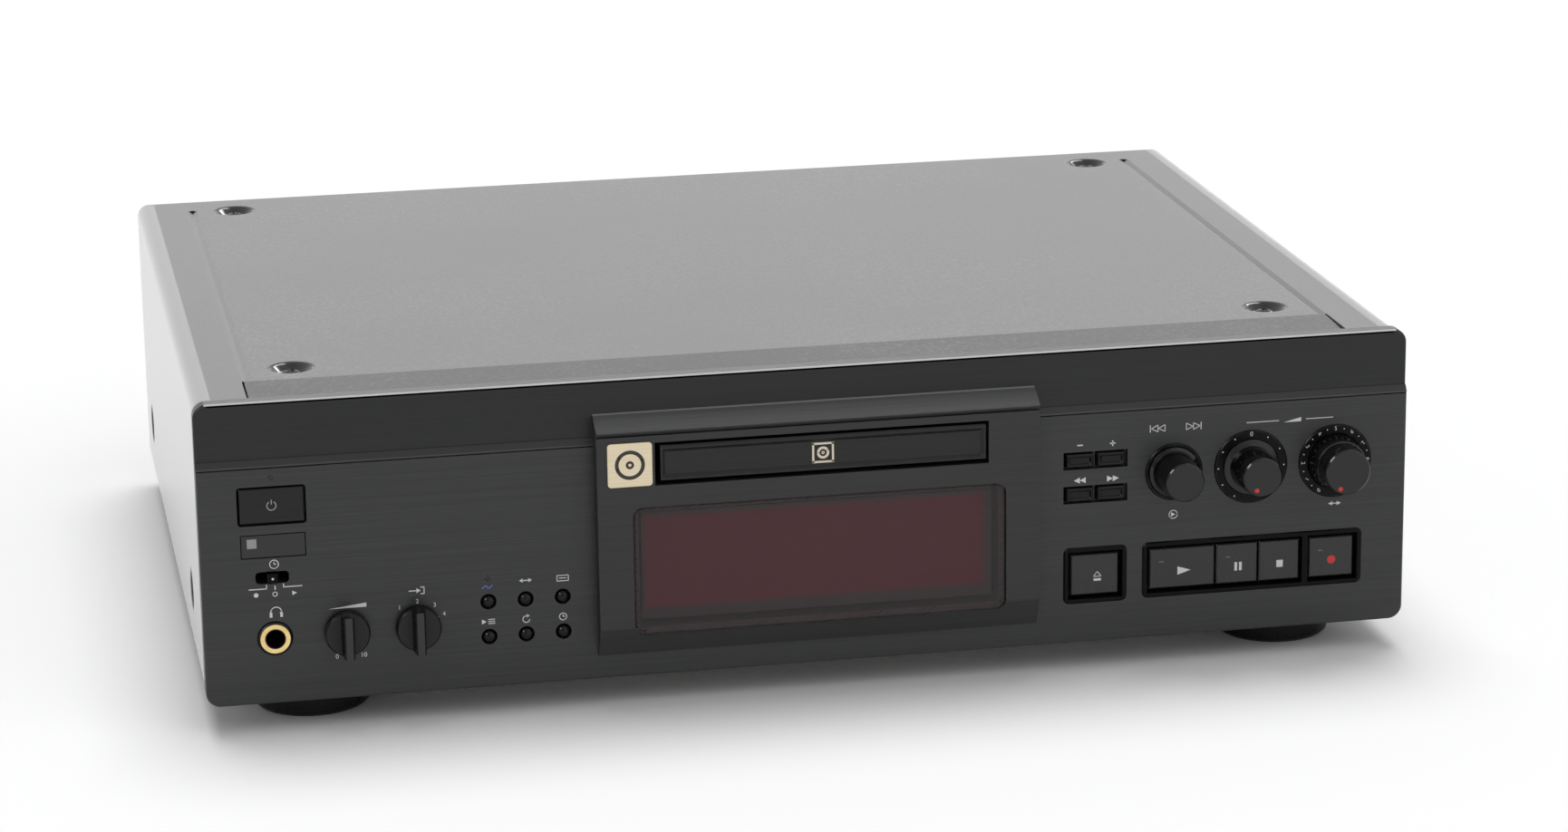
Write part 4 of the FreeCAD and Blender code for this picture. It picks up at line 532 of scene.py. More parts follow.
def pointer_knob_black():
    """Moulded pointer knobs: a dark skirt and a smoother grip, whose front face is painted lighter
    for the light it catches.
    """
    plastic = Finish("pointer_knob_black", 0.4, IOR=1.24)
    grip = plastic.inside((-FAR, -FAR, -FAR), (FAR, GRIP_BACK, FAR), 0.6)
    front = plastic.both(grip, plastic.facing(0, -1, 0))
    grains, clouds = plastic.speckle(2400.0)
    base = plastic.blend(clouds, grey(0.004), grey(0.006))
    # painted light: the grip's front face gets a lighter base than the rest of the knob
    base = plastic.mix(front, base, grey(0.05))
    plastic.colour(plastic.mix(plastic.soften(0.3), base, grey(0.1), 0.3))
    plastic.gloss(grains, 0.22, 0.36, (front, 0.45))
    plastic.relief(grains, 0.006, 0.4)
    return plastic.material


def smoked_acrylic():
    """Dark clear pane; what lies behind it shows faintly through."""
    pane = Finish("smoked_acrylic", 0.12, IOR=1.5, Alpha=0.45)
    clouds = pane.speckle(500.0)[1]
    pane.colour(pane.blend(clouds, (0.016, 0.013, 0.013), (0.020, 0.016, 0.016)))
    pane.gloss(pane.smudges(40.0), 0.1, 0.22)
    return pane.material


def display_glass():
    """Face of the display: a dark red grid with soft ends, and grey glass round it."""
    glass = Finish("display_glass", 0.25, IOR=1.45)
    left, low = GRID_LOW
    right, high = GRID_HIGH
    grid = glass.window(GRID_LOW, GRID_HIGH, 1.8)
    column = glass.window((left + 1.2, low + 2.5), (left + 2.2, high - 7), 0.5)
    row = glass.window((-13, 31.7), (48, 32.3), 0.4)
    ring = glass.about((-41, 0, 28.4), ROUND_Y, 3.0, 3.0)
    rim = glass.window((left - 1.6, low - 4.5), (right + 4.2, high + 1.6), 0.8)
    red = glass.blend(glass.lines(4, 900, 700), (0.60, 0.055, 0.115), (0.68, 0.07, 0.135))
    red = glass.mix(glass.speckle(700.0)[1], red, (0.54, 0.06, 0.11), 0.5)
    red = glass.mix(column, red, (0.62, 0.07, 0.14), 0.8)
    red = glass.mix(row, red, (0.50, 0.07, 0.1), 0.5)
    red = glass.mix(ring, red, (0.62, 0.1, 0.14), 0.25)
    dull = glass.mix(rim, (0.12, 0.095, 0.095), (0.27, 0.15, 0.165))
    glass.colour(glass.mix(grid, dull, red))
    return glass.material


def pale_gold():
    """Pale gold plate, finely brushed."""
    plate = Finish("badge_pale_gold", 0.34, Metallic=0.5)
    lines = plate.lines(30, 900, 2600)
    plate.soften(0.2)
    plate.colour(plate.blend(lines, (0.72, 0.61, 0.42), (0.82, 0.72, 0.52)))
    plate.gloss(lines, 0.3, 0.42)
    plate.relief(lines, 0.008, 0.4)
    return plate.material


def bright_metal(name, dark, light, smooth, rough, across):
    """Plated metal with turning marks and dulled patches."""
    metal = Finish(name, rough, Metallic=1.0)
    smudges = metal.smudges(120.0)
    metal.soften(0.2)
    metal.colour(metal.blend(smudges, light, dark))
    metal.gloss(smudges, smooth, rough)
    metal.relief(metal.rings(60.0, across), 0.006, 0.5)
    return metal.material


def jack_bush(name, centres, gold_from, gold_to, inserts=()):
    """Sockets gilded over a ring round each centre, moulded black inside and outside it."""
    bush = Finish(name, 0.3, IOR=1.4)
    gilt = bush.either(*(bush.both(bush.about((x, 0, z), ROUND_Y, gold_to),
                                   bush.outside(bush.about((x, 0, z), ROUND_Y, gold_from)))
                         for x, z in centres))
    smudges = bush.smudges(120.0)
    bush.soften(0.2)
    gold = bush.blend(smudges, (0.86, 0.66, 0.3), (0.66, 0.46, 0.17))
    dark = grey(0.006)
    for x, z, colour in inserts:
        dark = bush.mix(bush.about((x, 0, z), ROUND_Y, gold_from), dark, colour)
    bush.colour(bush.mix(gilt, dark, gold))
    bush.drive("Metallic", gilt)
    bush.gloss(smudges, 0.16, 0.3, (bush.outside(gilt), 0.35))
    bush.relief(smudges, 0.004, 0.4)
    return bush.material


def zinc_sheet():
    """Zinc-coated steel: a faint spangle and rolling lines."""
    metal = Finish("zinc_sheet", 0.4, Metallic=1.0)
    cells = add(metal.tree, "TexVoronoi",
                {"Vector": own_place(metal.tree), "Scale": 130.0}).outputs["Color"]
    spangle = add(metal.tree, "RGBToBW", {0: cells}).outputs[0]
    metal.colour(metal.blend(spangle, (0.46, 0.46, 0.45), (0.62, 0.62, 0.6)))
    metal.gloss(spangle, 0.32, 0.5)
    metal.relief(metal.lines(900, 8, 900), 0.006, 0.4)
    return metal.material


def black_rubber():
    """Dull black rubber and painted foot bodies, dusty where they face up."""
    rubber = Finish("black_rubber", 0.6, IOR=1.3)
    grains, clouds = rubber.speckle(1800.0)
    base = rubber.blend(clouds, grey(0.011), grey(0.016))
    rubber.colour(rubber.blend(rubber.dust(0.6), base, (0.25, 0.24, 0.23)))
    rubber.gloss(grains, 0.22, 0.4)
    rubber.relief(grains, 0.015, 0.5)
    return rubber.material


def board_green():
    """Solder mask with tracks under it, and tinned pads."""
    board = Finish("board_solder_mask", 0.35)
    place = own_place(board.tree)
    tracks = add(board.tree, "TexBrick",
                 {"Vector": place, "Scale": 260.0, "Mortar Size": 0.06, "Color1": (0, 0, 0, 1),
                  "Color2": (0.3, 0.3, 0.3, 1), "Mortar": (1, 1, 1, 1)}).outputs["Fac"]
    pads = add(board.tree, "TexVoronoi",
               {"Vector": place, "Scale": 240.0}).outputs["Distance"]
    mask = board.blend(tracks, (0.012, 0.07, 0.03), (0.025, 0.13, 0.055))
    board.colour(board.blend(spread(board.tree, pads, 0.2, 0.17), mask, (0.5, 0.5, 0.48)))
    board.relief(tracks, 0.03, 0.6)
    return board.material


def drive_plastic(name, dark, light):
    """Moulded parts of the loading mechanism, faintly streaked by the flow."""
    plastic = Finish(name, 0.5, IOR=1.48)
    grains = plastic.speckle(2000.0)[0]
    plastic.soften(0.3)
    plastic.colour(plastic.blend(plastic.smudges(70.0), dark, light))
    plastic.gloss(grains, 0.35, 0.5)
    plastic.relief(grains, 0.008, 0.4)
    return plastic.material


def iron_core():
    """Varnished laminations, stacked along the core."""
    iron = Finish("varnished_laminations", 0.4, IOR=1.5)
    lines = iron.lines(20, 2600, 20)
    smudges = iron.smudges(50.0)
    base = iron.blend(lines, (0.05, 0.035, 0.028), (0.16, 0.12, 0.09))
    iron.colour(iron.mix(smudges, base, (0.1, 0.05, 0.03), 0.5))
    iron.gloss(smudges, 0.25, 0.5)
    iron.relief(lines, 0.05, 0.7)
    return iron.material


def printing(name, colour):
    """Screen-printed ink, a little uneven."""
    ink = Finish(name, 0.5)
    grains = ink.speckle(2600.0)[0]
    ink.colour(ink.blend(grains, colour, [part * 0.86 for part in colour]))
    ink.relief(grains, 0.004, 0.4)
    return ink.material


PHONO_WHITE, PHONO_RED, PHONO_ORANGE = (0.6, 0.6, 0.57), (0.45, 0.02, 0.015), (0.6, 0.16, 0.01)
PHONO_INSERTS = ([(x, PHONO_HIGH, PHONO_WHITE) for x in PHONO_PAIRS]
                 + [(x, PHONO_LOW, PHONO_RED) for x in PHONO_PAIRS]
                 + [(0.0, PHONO_LOW, PHONO_ORANGE)])

FINISHES = {
    "steel_sheet": panel_paint(),
    "bare_steel": zinc_sheet(),
    "fascia_metal": hairline_black("fascia_hairline", (0.019, 0.020, 0.0197),
                                   (0.031, 0.0322, 0.032)),
    "black_plastic": moulded_black("moulded_black", 0.016, 0.4, 0.55, 1.46),
    "gloss_black": key_black("key_cap_black", 0.014, 0.09, 0.24, 0.38),
    "smoked_window": smoked_acrylic(),
    "gold_plate": pale_gold(),
    "gilt": bright_metal("gilt", (0.62, 0.42, 0.14), (0.86, 0.66, 0.3), 0.16, 0.3, ROUND_Y),
    "knob_metal": knob_black(),
    "rubber_black": black_rubber(),
    "circuit_board": board_green(),
    "chrome_metal": bright_metal("nickel", (0.5, 0.5, 0.49), (0.72, 0.71, 0.69), 0.15, 0.3,
                                 ROUND_Z),
    "tube_glass": display_glass(),
    "tray_plastic": drive_plastic("tray_dark_grey", (0.03, 0.03, 0.032), (0.04, 0.04, 0.043)),
    "white_plastic": drive_plastic("natural_acetal", (0.62, 0.61, 0.56), (0.72, 0.71, 0.67)),
    "iron": iron_core(),
}
SURROUND_BLACK = moulded_black("surround_black", 0.003, 0.2, 0.34, 1.18)
SMALL_BUTTON = key_black("small_button_black", 0.005, 0.07, 0.12, 0.22, 1.3)
POINTER_KNOB = pointer_knob_black()
NODE_FINISHES = {
    "top_cover": cover_paint(),
    "upper_band": band_black(),
    "display_block": block_black(),
    "tray_front": hairline_black("tray_front_hairline", (0.007, 0.007, 0.0073),
                                 (0.012, 0.012, 0.0125), 1.4),
    "power_button": hairline_black("power_cap_hairline", (0.006, 0.0062, 0.0064),
                                   (0.010, 0.0103, 0.0106), 1.36),
    "remote_window": key_black("remote_lens_black", 0.012, 0.06, 0.1, 0.2),
    "button_surrounds": SURROUND_BLACK,
    # the rings' rubbed edges are made bright: partly wear, partly a painted highlight along their
    # rims
    "dial_rings": key_black("dial_ring_black", 0.003, 0.22, 0.2, 0.32, 1.2),
    "timer_knob": SURROUND_BLACK,
    "phone_level_knob": POINTER_KNOB,
    "input_knob": POINTER_KNOB,
    "headphone_socket": jack_bush("headphone_bush", [PHONES], 3.6, 5.15),
    "phono_jacks": jack_bush("phono_bush", [row[:2] for row in PHONO_INSERTS], 2.9, 4.3,
                             PHONO_INSERTS),
}
WHITE_INK = printing("white_ink", (0.70, 0.70, 0.68))
CREAM_INK = printing("cream_ink", (0.82, 0.72, 0.58))
DIM_INK = printing("grey_ink", (0.32, 0.32, 0.31))
BLUE_INK = printing("blue_ink", (0.12, 0.2, 0.55))
RED_INK = printing("red_ink", (0.62, 0.03, 0.025))
DARK_INK = printing("dark_ink", (0.03, 0.026, 0.02))
SCREW_BLACK = bright_metal("blackened_screw", grey(0.03), grey(0.07), 0.12, 0.25, ROUND_Z)
LAMP_GREY = printing("lamp_grey", (0.13, 0.13, 0.14))
DOT_RED = printing("dot_red", (0.55, 0.12, 0.14))
# a black without reflection, for the painted shadow line under the band's edge
PAINTED_SHADOW_BLACK = moulded_black("painted_shadow_black", 0.001, 0.8, 0.9, 1.02)
LED_LENS = key_black("led_lens", 0.01, 0.02, 0.08, 0.16)

for row in frame["record"]["subparts"]:
    node = row["node"]
    finish = NODE_FINISHES.get(node, FINISHES[row["material_slot"]])
    if node.startswith(("round_button", "pair_button")):
        finish = SMALL_BUTTON
    for place in frame["nodes"][node].material_slots:
        place.material = finish


# ------------ outlines of (x, z) points

def on_circle(x, z, r, angle):
    return (x + r * math.cos(angle), z + r * math.sin(angle))


def disc(x, z, r, steps=20):
    return [on_circle(x, z, r, 2 * math.pi * i / steps) for i in range(steps)]


def bar(x, z, wide, tall):
    return [(x - wide / 2, z - tall / 2), (x + wide / 2, z - tall / 2),
            (x + wide / 2, z + tall / 2), (x - wide / 2, z + tall / 2)]


def stroke(x0, z0, x1, z1, wide):
    along = Vector((x1 - x0, z1 - z0)).normalized() * wide / 2
    side = Vector((-along.y, along.x))
    return [(x0 - side.x, z0 - side.y), (x1 - side.x, z1 - side.y),
            (x1 + side.x, z1 + side.y), (x0 + side.x, z0 + side.y)]


def wedge(x, z, wide, tall):
    """A solid triangle that points along +x, or along -x where wide is negative."""
    return [(x - wide / 2, z - tall / 2), (x + wide / 2, z), (x - wide / 2, z + tall / 2)]


def hollow_wedge(x, z, wide, tall):
    corners = wedge(x, z, wide, tall)
    return [stroke(*corners[i - 1], *corners[i], LINE) for i in range(3)]


def rising_bar(x, z, wide, tall):
    """A thin wedge that grows to the right, for a level."""
    return [bar(x, z, wide, tall)[:3]]


def arc(x, z, r, line, start=0.0, sweep=360.0, steps=24):
    """A band round (x, z), as quads; angles in degrees."""
    inner, outer = r - line / 2, r + line / 2
    angles = [math.radians(start + sweep * i / steps) for i in range(steps + 1)]
    return [[on_circle(x, z, inner, first), on_circle(x, z, outer, first),
             on_circle(x, z, outer, last), on_circle(x, z, inner, last)]
            for first, last in zip(angles, angles[1:])]


# ------------ pieces

def prism(bm, outline, near, far):
    """A solid plate between two depths behind the fascia's face."""
    front = [bm.verts.new(at(x, near, z)) for x, z in outline]
    back = [bm.verts.new(at(x, far, z)) for x, z in outline]
    bm.faces.new(front)
    bm.faces.new(back[::-1])
    for i in range(len(outline)):
        j = (i + 1) % len(outline)
        bm.faces.new((front[i], back[i], back[j], front[j]))


def figure(bm, text, x, z, tall, near, turn=0.0):
    """Printed digits, centred on (x, z) and turned by degrees."""
    curve = bpy.data.curves.new("figure", "FONT")
    curve.body = text
    curve.size = tall * 1.38 * MM            # the font's size for digits that tall
    curve.align_x, curve.align_y = "CENTER", "CENTER"
    curve.extrude = INK / 2 * MM
    holder = bpy.data.objects.new("figure", curve)
    mesh = bpy.data.meshes.new_from_object(holder)
    mesh.transform(Matrix.Translation(at(x, near - INK / 2, z))
                   @ Matrix.Rotation(math.radians(-turn), 4, "Y")
                   @ Matrix.Rotation(math.pi / 2, 4, "X"))
    bm.from_mesh(mesh)
    bpy.data.objects.remove(holder)


def new_mesh(name, bm):
    mesh = bpy.data.meshes.new(name)
    bm.to_mesh(mesh)
    bm.free()
    return mesh


def new_object(name, data):
    made = bpy.data.objects.new(name, data)
    bpy.context.scene.collection.objects.link(made)
    return made


def finish_piece(name, bm, material, body):
    """Turns the gathered faces into an object that rides on a body."""
    bmesh.ops.remove_doubles(bm, verts=bm.verts, dist=1e-7)
    bmesh.ops.recalc_face_normals(bm, faces=bm.faces)
    mesh = new_mesh(name, bm)
    mesh.materials.append(material)
    for polygon in mesh.polygons:
        polygon.use_smooth = True
    mesh.set_sharp_from_angle(angle=math.radians(35))
    piece = new_object(name, mesh)
    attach(piece, body)


def ink_on(name, outlines, face, material, body="deck", figures=()):
    """Prints outlines, and digits as (text, x, z, tall, turn), on a face at that depth."""
    bm = bmesh.new()
    for outline in outlines:
        prism(bm, outline, face - INK, face + INK / 4)
    for text, x, z, tall, turn in figures:
        figure(bm, text, x, z, tall, face, turn)
    finish_piece(name, bm, material, body)


def lathe(bm, profile, place, steps):
    """A closed turned solid from (radius, height) points; place turns it onto its axis."""
    rings = []
    for radius, height in profile:
        around = disc(0, 0, radius, steps) if radius else [(0, 0)]
        rings.append([bm.verts.new(place @ (Vector((*point, height)) * MM)) for point in around])
    for low, high in zip(rings, rings[1:]):
        for i in range(steps):
            j = (i + 1) % steps
            corners = (low[i % len(low)], low[j % len(low)],
                       high[j % len(high)], high[i % len(high)])
            unique = list(dict.fromkeys(corners))
            if len(unique) > 2:
                bm.faces.new(unique)


UP, DOWN = Matrix.Identity(4), Matrix.Rotation(math.pi, 4, "X")
FORWARD, BACKWARD = (Matrix.Rotation(turn, 4, "X") for turn in (math.pi / 2, -math.pi / 2))
RIGHT, LEFT = (Matrix.Rotation(turn, 4, "Y") for turn in (math.pi / 2, -math.pi / 2))


def cross_head(radius, tall):
    """Mesh of a pan-head screw with a cross recess, standing on its own origin."""
    head = bmesh.new()
    rim = tall * 0.35
    slopes = [math.radians(angle) for angle in range(0, 90, 10)]
    dome = [(radius * math.cos(a), rim + (tall - rim) * math.sin(a)) for a in slopes]
    lathe(head, [(0, 0), (radius * 0.98, 0), (radius, rim * 0.5)] + dome + [(0, tall)], UP, 36)
    recess = bmesh.new()
    long, thin, bottom, above = radius * 1.1, radius * 0.26, tall * 0.35, tall * 1.3
    for turn in (0, math.pi / 2):
        corners = bmesh.ops.create_cube(recess, size=1.0)["verts"]
        for corner in corners:
            taper, height = (1.0, above) if corner.co.z > 0 else (0.45, bottom)
            corner.co = Vector((corner.co.x * long * taper, corner.co.y * thin, height)) * MM
        bmesh.ops.rotate(recess, verts=corners, matrix=Matrix.Rotation(turn, 3, "Z"))
    objects = []
    for label, bm in (("head", head), ("recess", recess)):
        bmesh.ops.recalc_face_normals(bm, faces=bm.faces)
        objects.append(new_object(label, new_mesh(label, bm)))
    cut = objects[0].modifiers.new("recess", "BOOLEAN")
    cut.operation, cut.object, cut.solver = "DIFFERENCE", objects[1], "EXACT"
    cut.use_self = True
    bpy.context.view_layer.update()
    shaped = objects[0].evaluated_get(bpy.context.evaluated_depsgraph_get())
    mesh = bpy.data.meshes.new_from_object(shaped)
    for helper in objects:
        bpy.data.objects.remove(helper)
    return mesh


def screws(name, head, places, turn):
    """Copies of a screw head at points, with their tops along the turned +Z."""
    bm = bmesh.new()
    for i, point in enumerate(places):
        copy = head.copy()
        copy.transform(Matrix.Translation(point) @ turn @ Matrix.Rotation(0.9 * i + 0.3, 4, "Z"))
        bm.from_mesh(copy)
    finish_piece(name, bm, SCREW_BLACK, "deck")


def all_screws():
    dish_head, small_head = cross_head(3.5, 2.0), cross_head(2.9, 1.7)
    dish_x = COVER_HIGH.x / MM - DISH_DEEP
    dish_z = (COVER_HIGH.z - FASCIA_LOW.z) / MM - DISH_DEEP
    rear_face = (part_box("rear_panel")[1].y - FASCIA_LOW.y) / MM
    underside = (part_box("chassis_base")[0].z - FASCIA_LOW.z) / MM
    screws("cover_top_screws", dish_head,
           [at(x, y, dish_z) for x in (-DISH_X, DISH_X) for y in DISH_Y], UP)
    for side, turn, label in ((-1, LEFT, "left"), (1, RIGHT, "right")):
        screws("cover_" + label + "_screws", dish_head,
               [at(side * dish_x, y, SIDE_DISH_Z) for y in SIDE_DISH_Y], turn)
    rear_edge = [(-205, 97), (0, 99), (205, 97), (-205, 12), (205, 12), (-80, 12), (100, 12)]
    rear_sockets = [(-47, 43), (12, 34), (51, 36), (73, 36), (-178.5, 36), (-141.5, 36)]
    screws("rear_screws", small_head,
           [at(x, rear_face, z) for x, z in rear_edge + rear_sockets], BACKWARD)
    base = [(-130, 40), (130, 40), (-150, 180), (0, 215), (90, 215), (0, 280)]
    screws("base_screws", small_head, [at(x, y, underside) for x, y in base], DOWN)


# ------------ printed symbols

def skip(x, z, way):
    """Double hollow triangles with a bar at their tips."""
    return (hollow_wedge(x - 1.3 * way, z, 2.4 * way, 2.5)
            + hollow_wedge(x + 1.3 * way, z, 2.4 * way, 2.5) + [bar(x + 2.9 * way, z, 0.32, 2.7)])


def clock(x, z, r):
    return arc(x, z, r, 0.3) + [stroke(x, z, x, z + r * 0.62, LINE),
                                stroke(x, z, x + r * 0.5, z, LINE)]


def fascia_printing():
    # timer switch: a step line, a tick for the middle, a step line
    marks = [bar(-195.7, 41.5, 6.2, 0.35), bar(-192.7, 42.2, 0.35, 1.6),
             bar(-189.8, 41.7, 0.4, 1.5), bar(-186.9, 42.3, 0.35, 1.5),
             bar(-183.7, 41.8, 6.4, 0.35)]
    marks += clock(-189.8, 50.1, 1.5)
    marks += [disc(-196.4, 39.4, 0.8), wedge(-183.2, 39.4, 1.6, 1.6)]
    marks += arc(-189.9, 39.4, 0.75, 0.3)
    # headphones
    marks += arc(-189.8, 32.8, 1.9, 0.34, 0, 180, 14)
    marks += [bar(-191.6, 32.0, 0.9, 1.9), bar(-188.0, 32.0, 0.9, 1.9)]
    # phone level, with the ends of its scale
    marks += rising_bar(-165.3, 33.3, 13.0, 1.5)
    figures = [("0", -169.5, 15.2, 1.7, 0), ("10", -160.3, 15.2, 1.7, 0)]
    # input: an arrow into a bracket, and four numbered stops
    marks += [bar(-142.6, 37.0, 2.8, 0.35), wedge(-140.6, 37.0, 1.5, 1.8),
              bar(-138.7, 37.0, 0.35, 2.6), bar(-139.3, 38.2, 1.3, 0.35),
              bar(-139.3, 35.8, 1.3, 0.35)]
    marks += [disc(x, z, 0.36, 12)
              for x, z in ((-145.1, 29.7), (-141.2, 30.9), (-137.0, 29.8), (-134.2, 26.9))]
    figures += [(text, x, z, 1.6, 0)
                for text, x, z in (("1", -147.4, 31.2), ("2", -141.2, 33.1),
                                   ("3", -135.2, 31.4), ("4", -132.0, 27.9))]
    # keys by the display: minus, plus, rewind, forward
    marks += [bar(94.7, 73.0, 2.0, 0.45), bar(106.6, 73.0, 2.0, 0.45),
              bar(106.6, 73.0, 0.45, 2.0)]
    marks += [wedge(x, 60.1, way * 2.2, 2.2)
              for x, way in ((93.6, -1), (95.7, -1), (105.7, 1), (107.8, 1))]
    # jog dial: skip back and on above it, play for its push
    marks += skip(123.2, 77.3, -1) + skip(136.0, 77.3, 1)
    marks += [wedge(129.0, 45.2, 1.6, 1.6)] + arc(129.0, 45.2, 1.5, LINE)
    # record level dials: a rule over both with a level in it, and a link below
    marks += [bar(161.6, 77.2, 12.0, 0.3), bar(182.6, 77.2, 10.0, 0.3)]
    marks += rising_bar(172.6, 77.2, 6.4, 1.5)
    marks += [wedge(187.2, 45.1, -1.6, 1.5), wedge(190.4, 45.1, 1.6, 1.5),
              bar(188.8, 45.1, 1.8, 0.3)]
    ink_on("fascia_marks", marks, 0.0, WHITE_INK, figures=figures)


def round_button_printing():
    """A small symbol above each of the six round buttons."""
    x, z = -103.4, 37.9                      # scroll: two arrows
    marks = [wedge(x - 1.6, z, -1.2, 1.5), wedge(x + 1.6, z, 1.2, 1.5), bar(x, z, 2.6, 0.35)]
    x, z = -90.4, 37.8                       # display: a framed line
    marks += [bar(x, z + 1.0, 4.2, 0.3), bar(x, z - 1.0, 4.2, 0.3), bar(x - 2.0, z, 0.3, 2.0),
              bar(x + 2.0, z, 0.3, 2.0), bar(x, z, 2.6, 0.3)]
    x, z = -116.7, 23.9                      # play mode: a triangle and three lines
    marks += [wedge(x - 1.5, z, 1.6, 1.8)]
    marks += [bar(x + 1.1, z + i * 0.75, 2.4, 0.3) for i in (-1, 0, 1)]
    x, z = -103.5, 23.8                      # repeat: a loop
    marks += arc(x, z, 1.2, 0.3, 60, 300, 16) + [wedge(x + 0.7, z + 1.2, 1.1, 1.3)]
    marks += clock(-90.6, 23.8, 1.25)        # time
    ink_on("round_button_marks", marks, 0.0, WHITE_INK)
    turns = [(-118.6 + i * 1.2, 35.9 + (i % 2) * 1.2) for i in range(4)]
    wave = [stroke(*first, *last, 0.34) for first, last in zip(turns, turns[1:])]
    ink_on("filter_mark", wave, 0.0, BLUE_INK)


def key_printing():
    """The symbols on the transport keys, the eject key and the power button."""
    roof = [stroke(100.0, 24.0, 101.4, 25.8, LINE), stroke(102.8, 24.0, 101.4, 25.8, LINE),
            bar(101.4, 24.0, 2.9, LINE), bar(101.4, 22.8, 2.7, 0.9)]
    for key, marks, ink in (("play", [wedge(133.4, 23.9, 4.9, 3.1)], WHITE_INK),
                            ("pause", [bar(x, 23.9, 1.0, 3.1) for x in (152.6, 154.3)], WHITE_INK),
                            ("stop", [bar(168.9, 23.8, 2.4, 2.6)], WHITE_INK),
                            ("record", [disc(188.2, 23.9, 1.55, 28)], RED_INK),
                            ("eject", roof, WHITE_INK)):
        ink_on(key + "_mark", marks, face_of(key + "_key"), ink, key + "_body")
    x, _, z = middle("power_button")
    ink_on("power_mark", arc(x, z, 1.55, 0.36, 120, 300, 26) + [bar(x, z + 1.3, 0.36, 1.7)],
           face_of("power_button"), DIM_INK, "power_body")


def on_dial(centre, r, turn):
    """A point on a dial, turned clockwise by degrees from its top."""
    return on_circle(centre.x, centre.z, r, math.radians(90 - turn))


def dial_printing():
    """Scales on the two rings, and the pointers on the knobs."""
    digital, analog = middle("digital_level_knob"), middle("analog_front_knob")
    steps = range(-150, 151, 30)
    marks = [disc(*on_dial(digital, 12.1, turn), 0.28, 10) for turn in steps if turn]
    marks += [disc(*on_dial(analog, 12.1, turn + 15), 0.24, 10) for turn in steps[:-1]]
    figures = [("0", digital.x, digital.z + 12.0, 1.7, 0)]
    figures += [(str(i), *on_dial(analog, 12.0, turn), 1.5, turn) for i, turn in enumerate(steps)]
    ink_on("dial_scales", marks, face_of("dial_rings"), WHITE_INK,
           figures=figures)
    for name, knob, radius in (("digital", "digital_level", 5.1), ("analog", "analog_front", 6.6)):
        spot = disc(*on_dial(middle(knob + "_knob"), radius, 205), 0.85, 20)
        ink_on(name + "_pointer", [spot], face_of(knob + "_knob"), RED_INK, knob + "_body")


def small_printing():
    """The timer knob's spot, the remote window's square and the tray's ringed frame."""
    timer = middle("timer_knob")
    ink_on("timer_pointer", [disc(timer.x, timer.z, 0.42, 14)], face_of("timer_knob"), WHITE_INK,
           "timer_body")
    ink_on("remote_mark", [bar(-197.1, 57.8, 3.3, 3.3)], face_of("remote_window"), DIM_INK)
    x, z = 1.4, 78.0
    cartridge = [bar(x, z + 3.3, 7.8, 0.75), bar(x, z - 3.3, 7.8, 0.75),
                 bar(x - 3.5, z, 0.75, 7.0), bar(x + 3.5, z, 0.75, 7.0)]
    ink_on("tray_mark", arc(x, z, 1.75, 0.9) + arc(x, z, 0.4, 0.35, steps=14) + cartridge,
           face_of("tray_front") + TRAY_HOLLOW, CREAM_INK, "tray_body")


def lamp_lenses():
    """Small domed lenses over the power and filter keys, and lamp bars in the keys' corners."""
    bm = bmesh.new()
    dome = [(0, -0.2), (0.95, -0.2), (0.95, 0.05), (0.8, 0.2), (0.5, 0.32), (0, 0.36)]
    for x, z in ((-189.8, 81.0), (-116.6, 39.6)):
        lathe(bm, dome, Matrix.Translation(at(x, 0, z)) @ FORWARD, 20)
    finish_piece("lamp_lenses", bm, LED_LENS, "deck")
    for key, x in (("play", 125.0), ("pause", 149.6), ("record", 184.0)):
        ink_on(key + "_lamp", [bar(x, 27.6, 1.6, 0.5)], face_of(key + "_key"), LAMP_GREY,
               key + "_body")


def round_button_domes():
    """The polished dome on the end of each round button."""
    curved = DOME_R / math.sin(DOME_SLOPE)
    slopes = [DOME_SLOPE * (1 - i / 6) for i in range(6)] + [0]
    dome = [(curved * math.sin(a), curved * (math.cos(a) - math.cos(DOME_SLOPE))) for a in slopes]
    for n in range(1, 7):
        node = "round_button_%d" % n
        end = middle(node)
        bm = bmesh.new()
        lathe(bm, [(0, -DOME_SEAT), (DOME_R, -DOME_SEAT)] + dome,
              Matrix.Translation(at(end.x, face_of(node) + DOME_SEAT, end.z)) @ FORWARD, 28)
        finish_piece("round_%d_dome" % n, bm, SMALL_BUTTON, "round_%d_body" % n)


def display_dots():
    """A column of dots at the right end of the display's glass."""
    dots = [disc(62.2, 20.6 + i * 2.65, 0.3, 10) for i in range(14)]
    ink_on("display_dots", dots, face_of("display_tube"), DOT_RED)


def band_line():
    """A painted shadow: a black line without reflection, laid under the band's cut edge where shade
    falls.
    """
    ink_on("band_line", [bar(0, 106.66, 420.5, 0.62)], face_of("upper_band") + BAND_BACK,
           PAINTED_SHADOW_BLACK)


def badge_rings():
    """Two plain rings on the gold badge."""
    x, _, z = middle("badge_plate")
    ink_on("badge_mark", arc(x, z, 4.6, 1.3, steps=40) + arc(x, z, 1.0, 0.9),
           face_of("badge_plate"), DARK_INK)


all_screws()
fascia_printing()
round_button_printing()
key_printing()
dial_printing()
small_printing()
lamp_lenses()
round_button_domes()
display_dots()
band_line()
badge_rings()


# ------------ floor, light and camera

PAPER_GLOW = 0.012  # strengths, where 1 is white
ROOM_LIGHT, BACKDROP = 0.38, 0.975


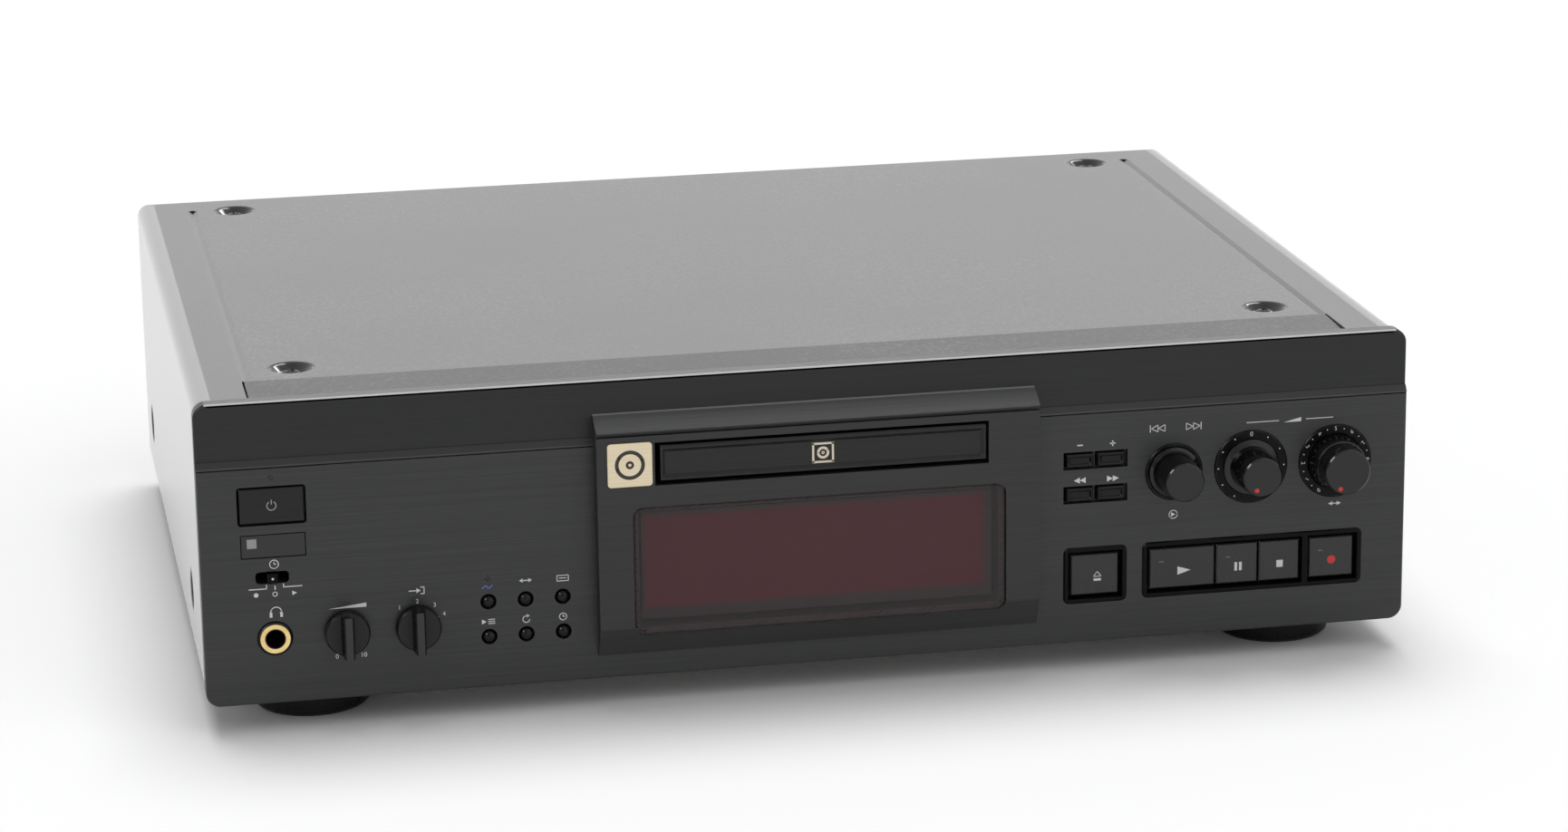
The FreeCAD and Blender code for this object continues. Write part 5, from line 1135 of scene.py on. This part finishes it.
def seen_directly(tree):
    """1 for camera, mirror and see-through rays, which meet the white surroundings."""
    path = add(tree, "LightPath").outputs
    return maths(tree, "MAXIMUM", path["Is Camera Ray"], path["Is Glossy Ray"],
                 path["Is Transmission Ray"])


def make_floor():
    bm = bmesh.new()
    bmesh.ops.create_grid(bm, x_segments=1, y_segments=1, size=8.0)
    floor = new_object("floor", new_mesh("floor", bm))
    paper = Finish("paper_sweep", 0.9, Specular_IOR_Level=0.0, Base_Color=(0.93, 0.93, 0.932, 1),
                   Emission_Color=(1, 1, 1, 1))
    glow = maths(paper.tree, "MULTIPLY", seen_directly(paper.tree), PAPER_GLOW)
    paper.drive("Emission Strength", glow)
    floor.data.materials.append(paper.material)


def studio_in_mirrors(tree):
    """What a glossy surface meets: white behind and above, a dim room in front, two lamps."""
    way = add(tree, "TexCoord").outputs["Generated"]
    part = add(tree, "SeparateXYZ", {0: way}).outputs
    room = spread(tree, part["X"], -0.1, 0.4, 0.45, 1.2)
    behind = spread(tree, part["Y"], -0.5, 0.05, room, 1.0)
    above = spread(tree, part["Z"], 0.65, 0.85, 0.0, 0.8)
    toward = vectors(tree, "DOT_PRODUCT", way, Vector((-0.66, -0.5, 0.56)).normalized())
    left_lamp = spread(tree, toward, 0.97, 0.985, 0.0, 9.0)
    across = vectors(tree, "DOT_PRODUCT", way, Vector((0.765, -0.635, -0.114)))
    aside = maths(tree, "ABSOLUTE", maths(tree, "SUBTRACT", across, 0.07), 0.0)
    width = spread(tree, aside, 0.08, 0.11, 13.0, 0.0)
    height = maths(tree, "MULTIPLY", spread(tree, part["Z"], 0.42, 0.5),
                   spread(tree, part["Z"], 0.95, 0.97, 1.0, 0.0))
    rear_lamp = maths(tree, "MULTIPLY", width, height, spread(tree, part["Y"], 0.0, 0.05))
    return maths(tree, "MAXIMUM", behind, above, left_lamp, rear_lamp)


def make_light():
    world = bpy.data.worlds.new("studio")
    bpy.context.scene.world = world
    world.use_nodes = True
    tree = world.node_tree
    strength = spread(tree, seen_directly(tree), 0.0, 1.0, ROOM_LIGHT, BACKDROP)
    mirrored = add(tree, "LightPath").outputs["Is Glossy Ray"]
    strength = spread(tree, mirrored, 0.0, 1.0, strength, studio_in_mirrors(tree))
    tree.links.new(strength, tree.nodes["Background"].inputs["Strength"])
    tree.nodes["Background"].inputs["Color"].default_value = (1, 1, 1, 1)
    for name, direction, power, size in (("overhead_softbox", (0.03, 0.3, 1.0), 1.95, 40),
                                         ("front_softbox", (0.6, -0.8, 1.0), 0.45, 50)):
        lamp = bpy.data.lights.new(name, "SUN")
        lamp.energy = power
        lamp.angle = math.radians(size)
        holder = new_object(name, lamp)
        holder.visible_glossy = False
        holder.rotation_euler = Vector(direction).to_track_quat("Z", "Y").to_euler()


def make_camera():
    azimuth, elevation, roll = (math.radians(a) for a in (-11.014, 15.579, -0.764))
    aim, distance = at(-11.41, 0, 90.85), 1.5632
    back = Vector((math.sin(azimuth) * math.cos(elevation),
                   -math.cos(azimuth) * math.cos(elevation), math.sin(elevation)))
    lens = bpy.data.cameras.new("camera")
    lens.sensor_width = 36.0
    lens.lens = 103.45
    lens.clip_end = 50.0
    camera = new_object("camera", lens)
    turn = back.to_track_quat("Z", "Y").to_matrix().to_4x4() @ Matrix.Rotation(roll, 4, "Z")
    camera.matrix_world = Matrix.Translation(aim + back * distance) @ turn
    bpy.context.scene.camera = camera


make_floor()
make_light()
make_camera()
bpy.context.scene.view_settings.view_transform = "Standard"
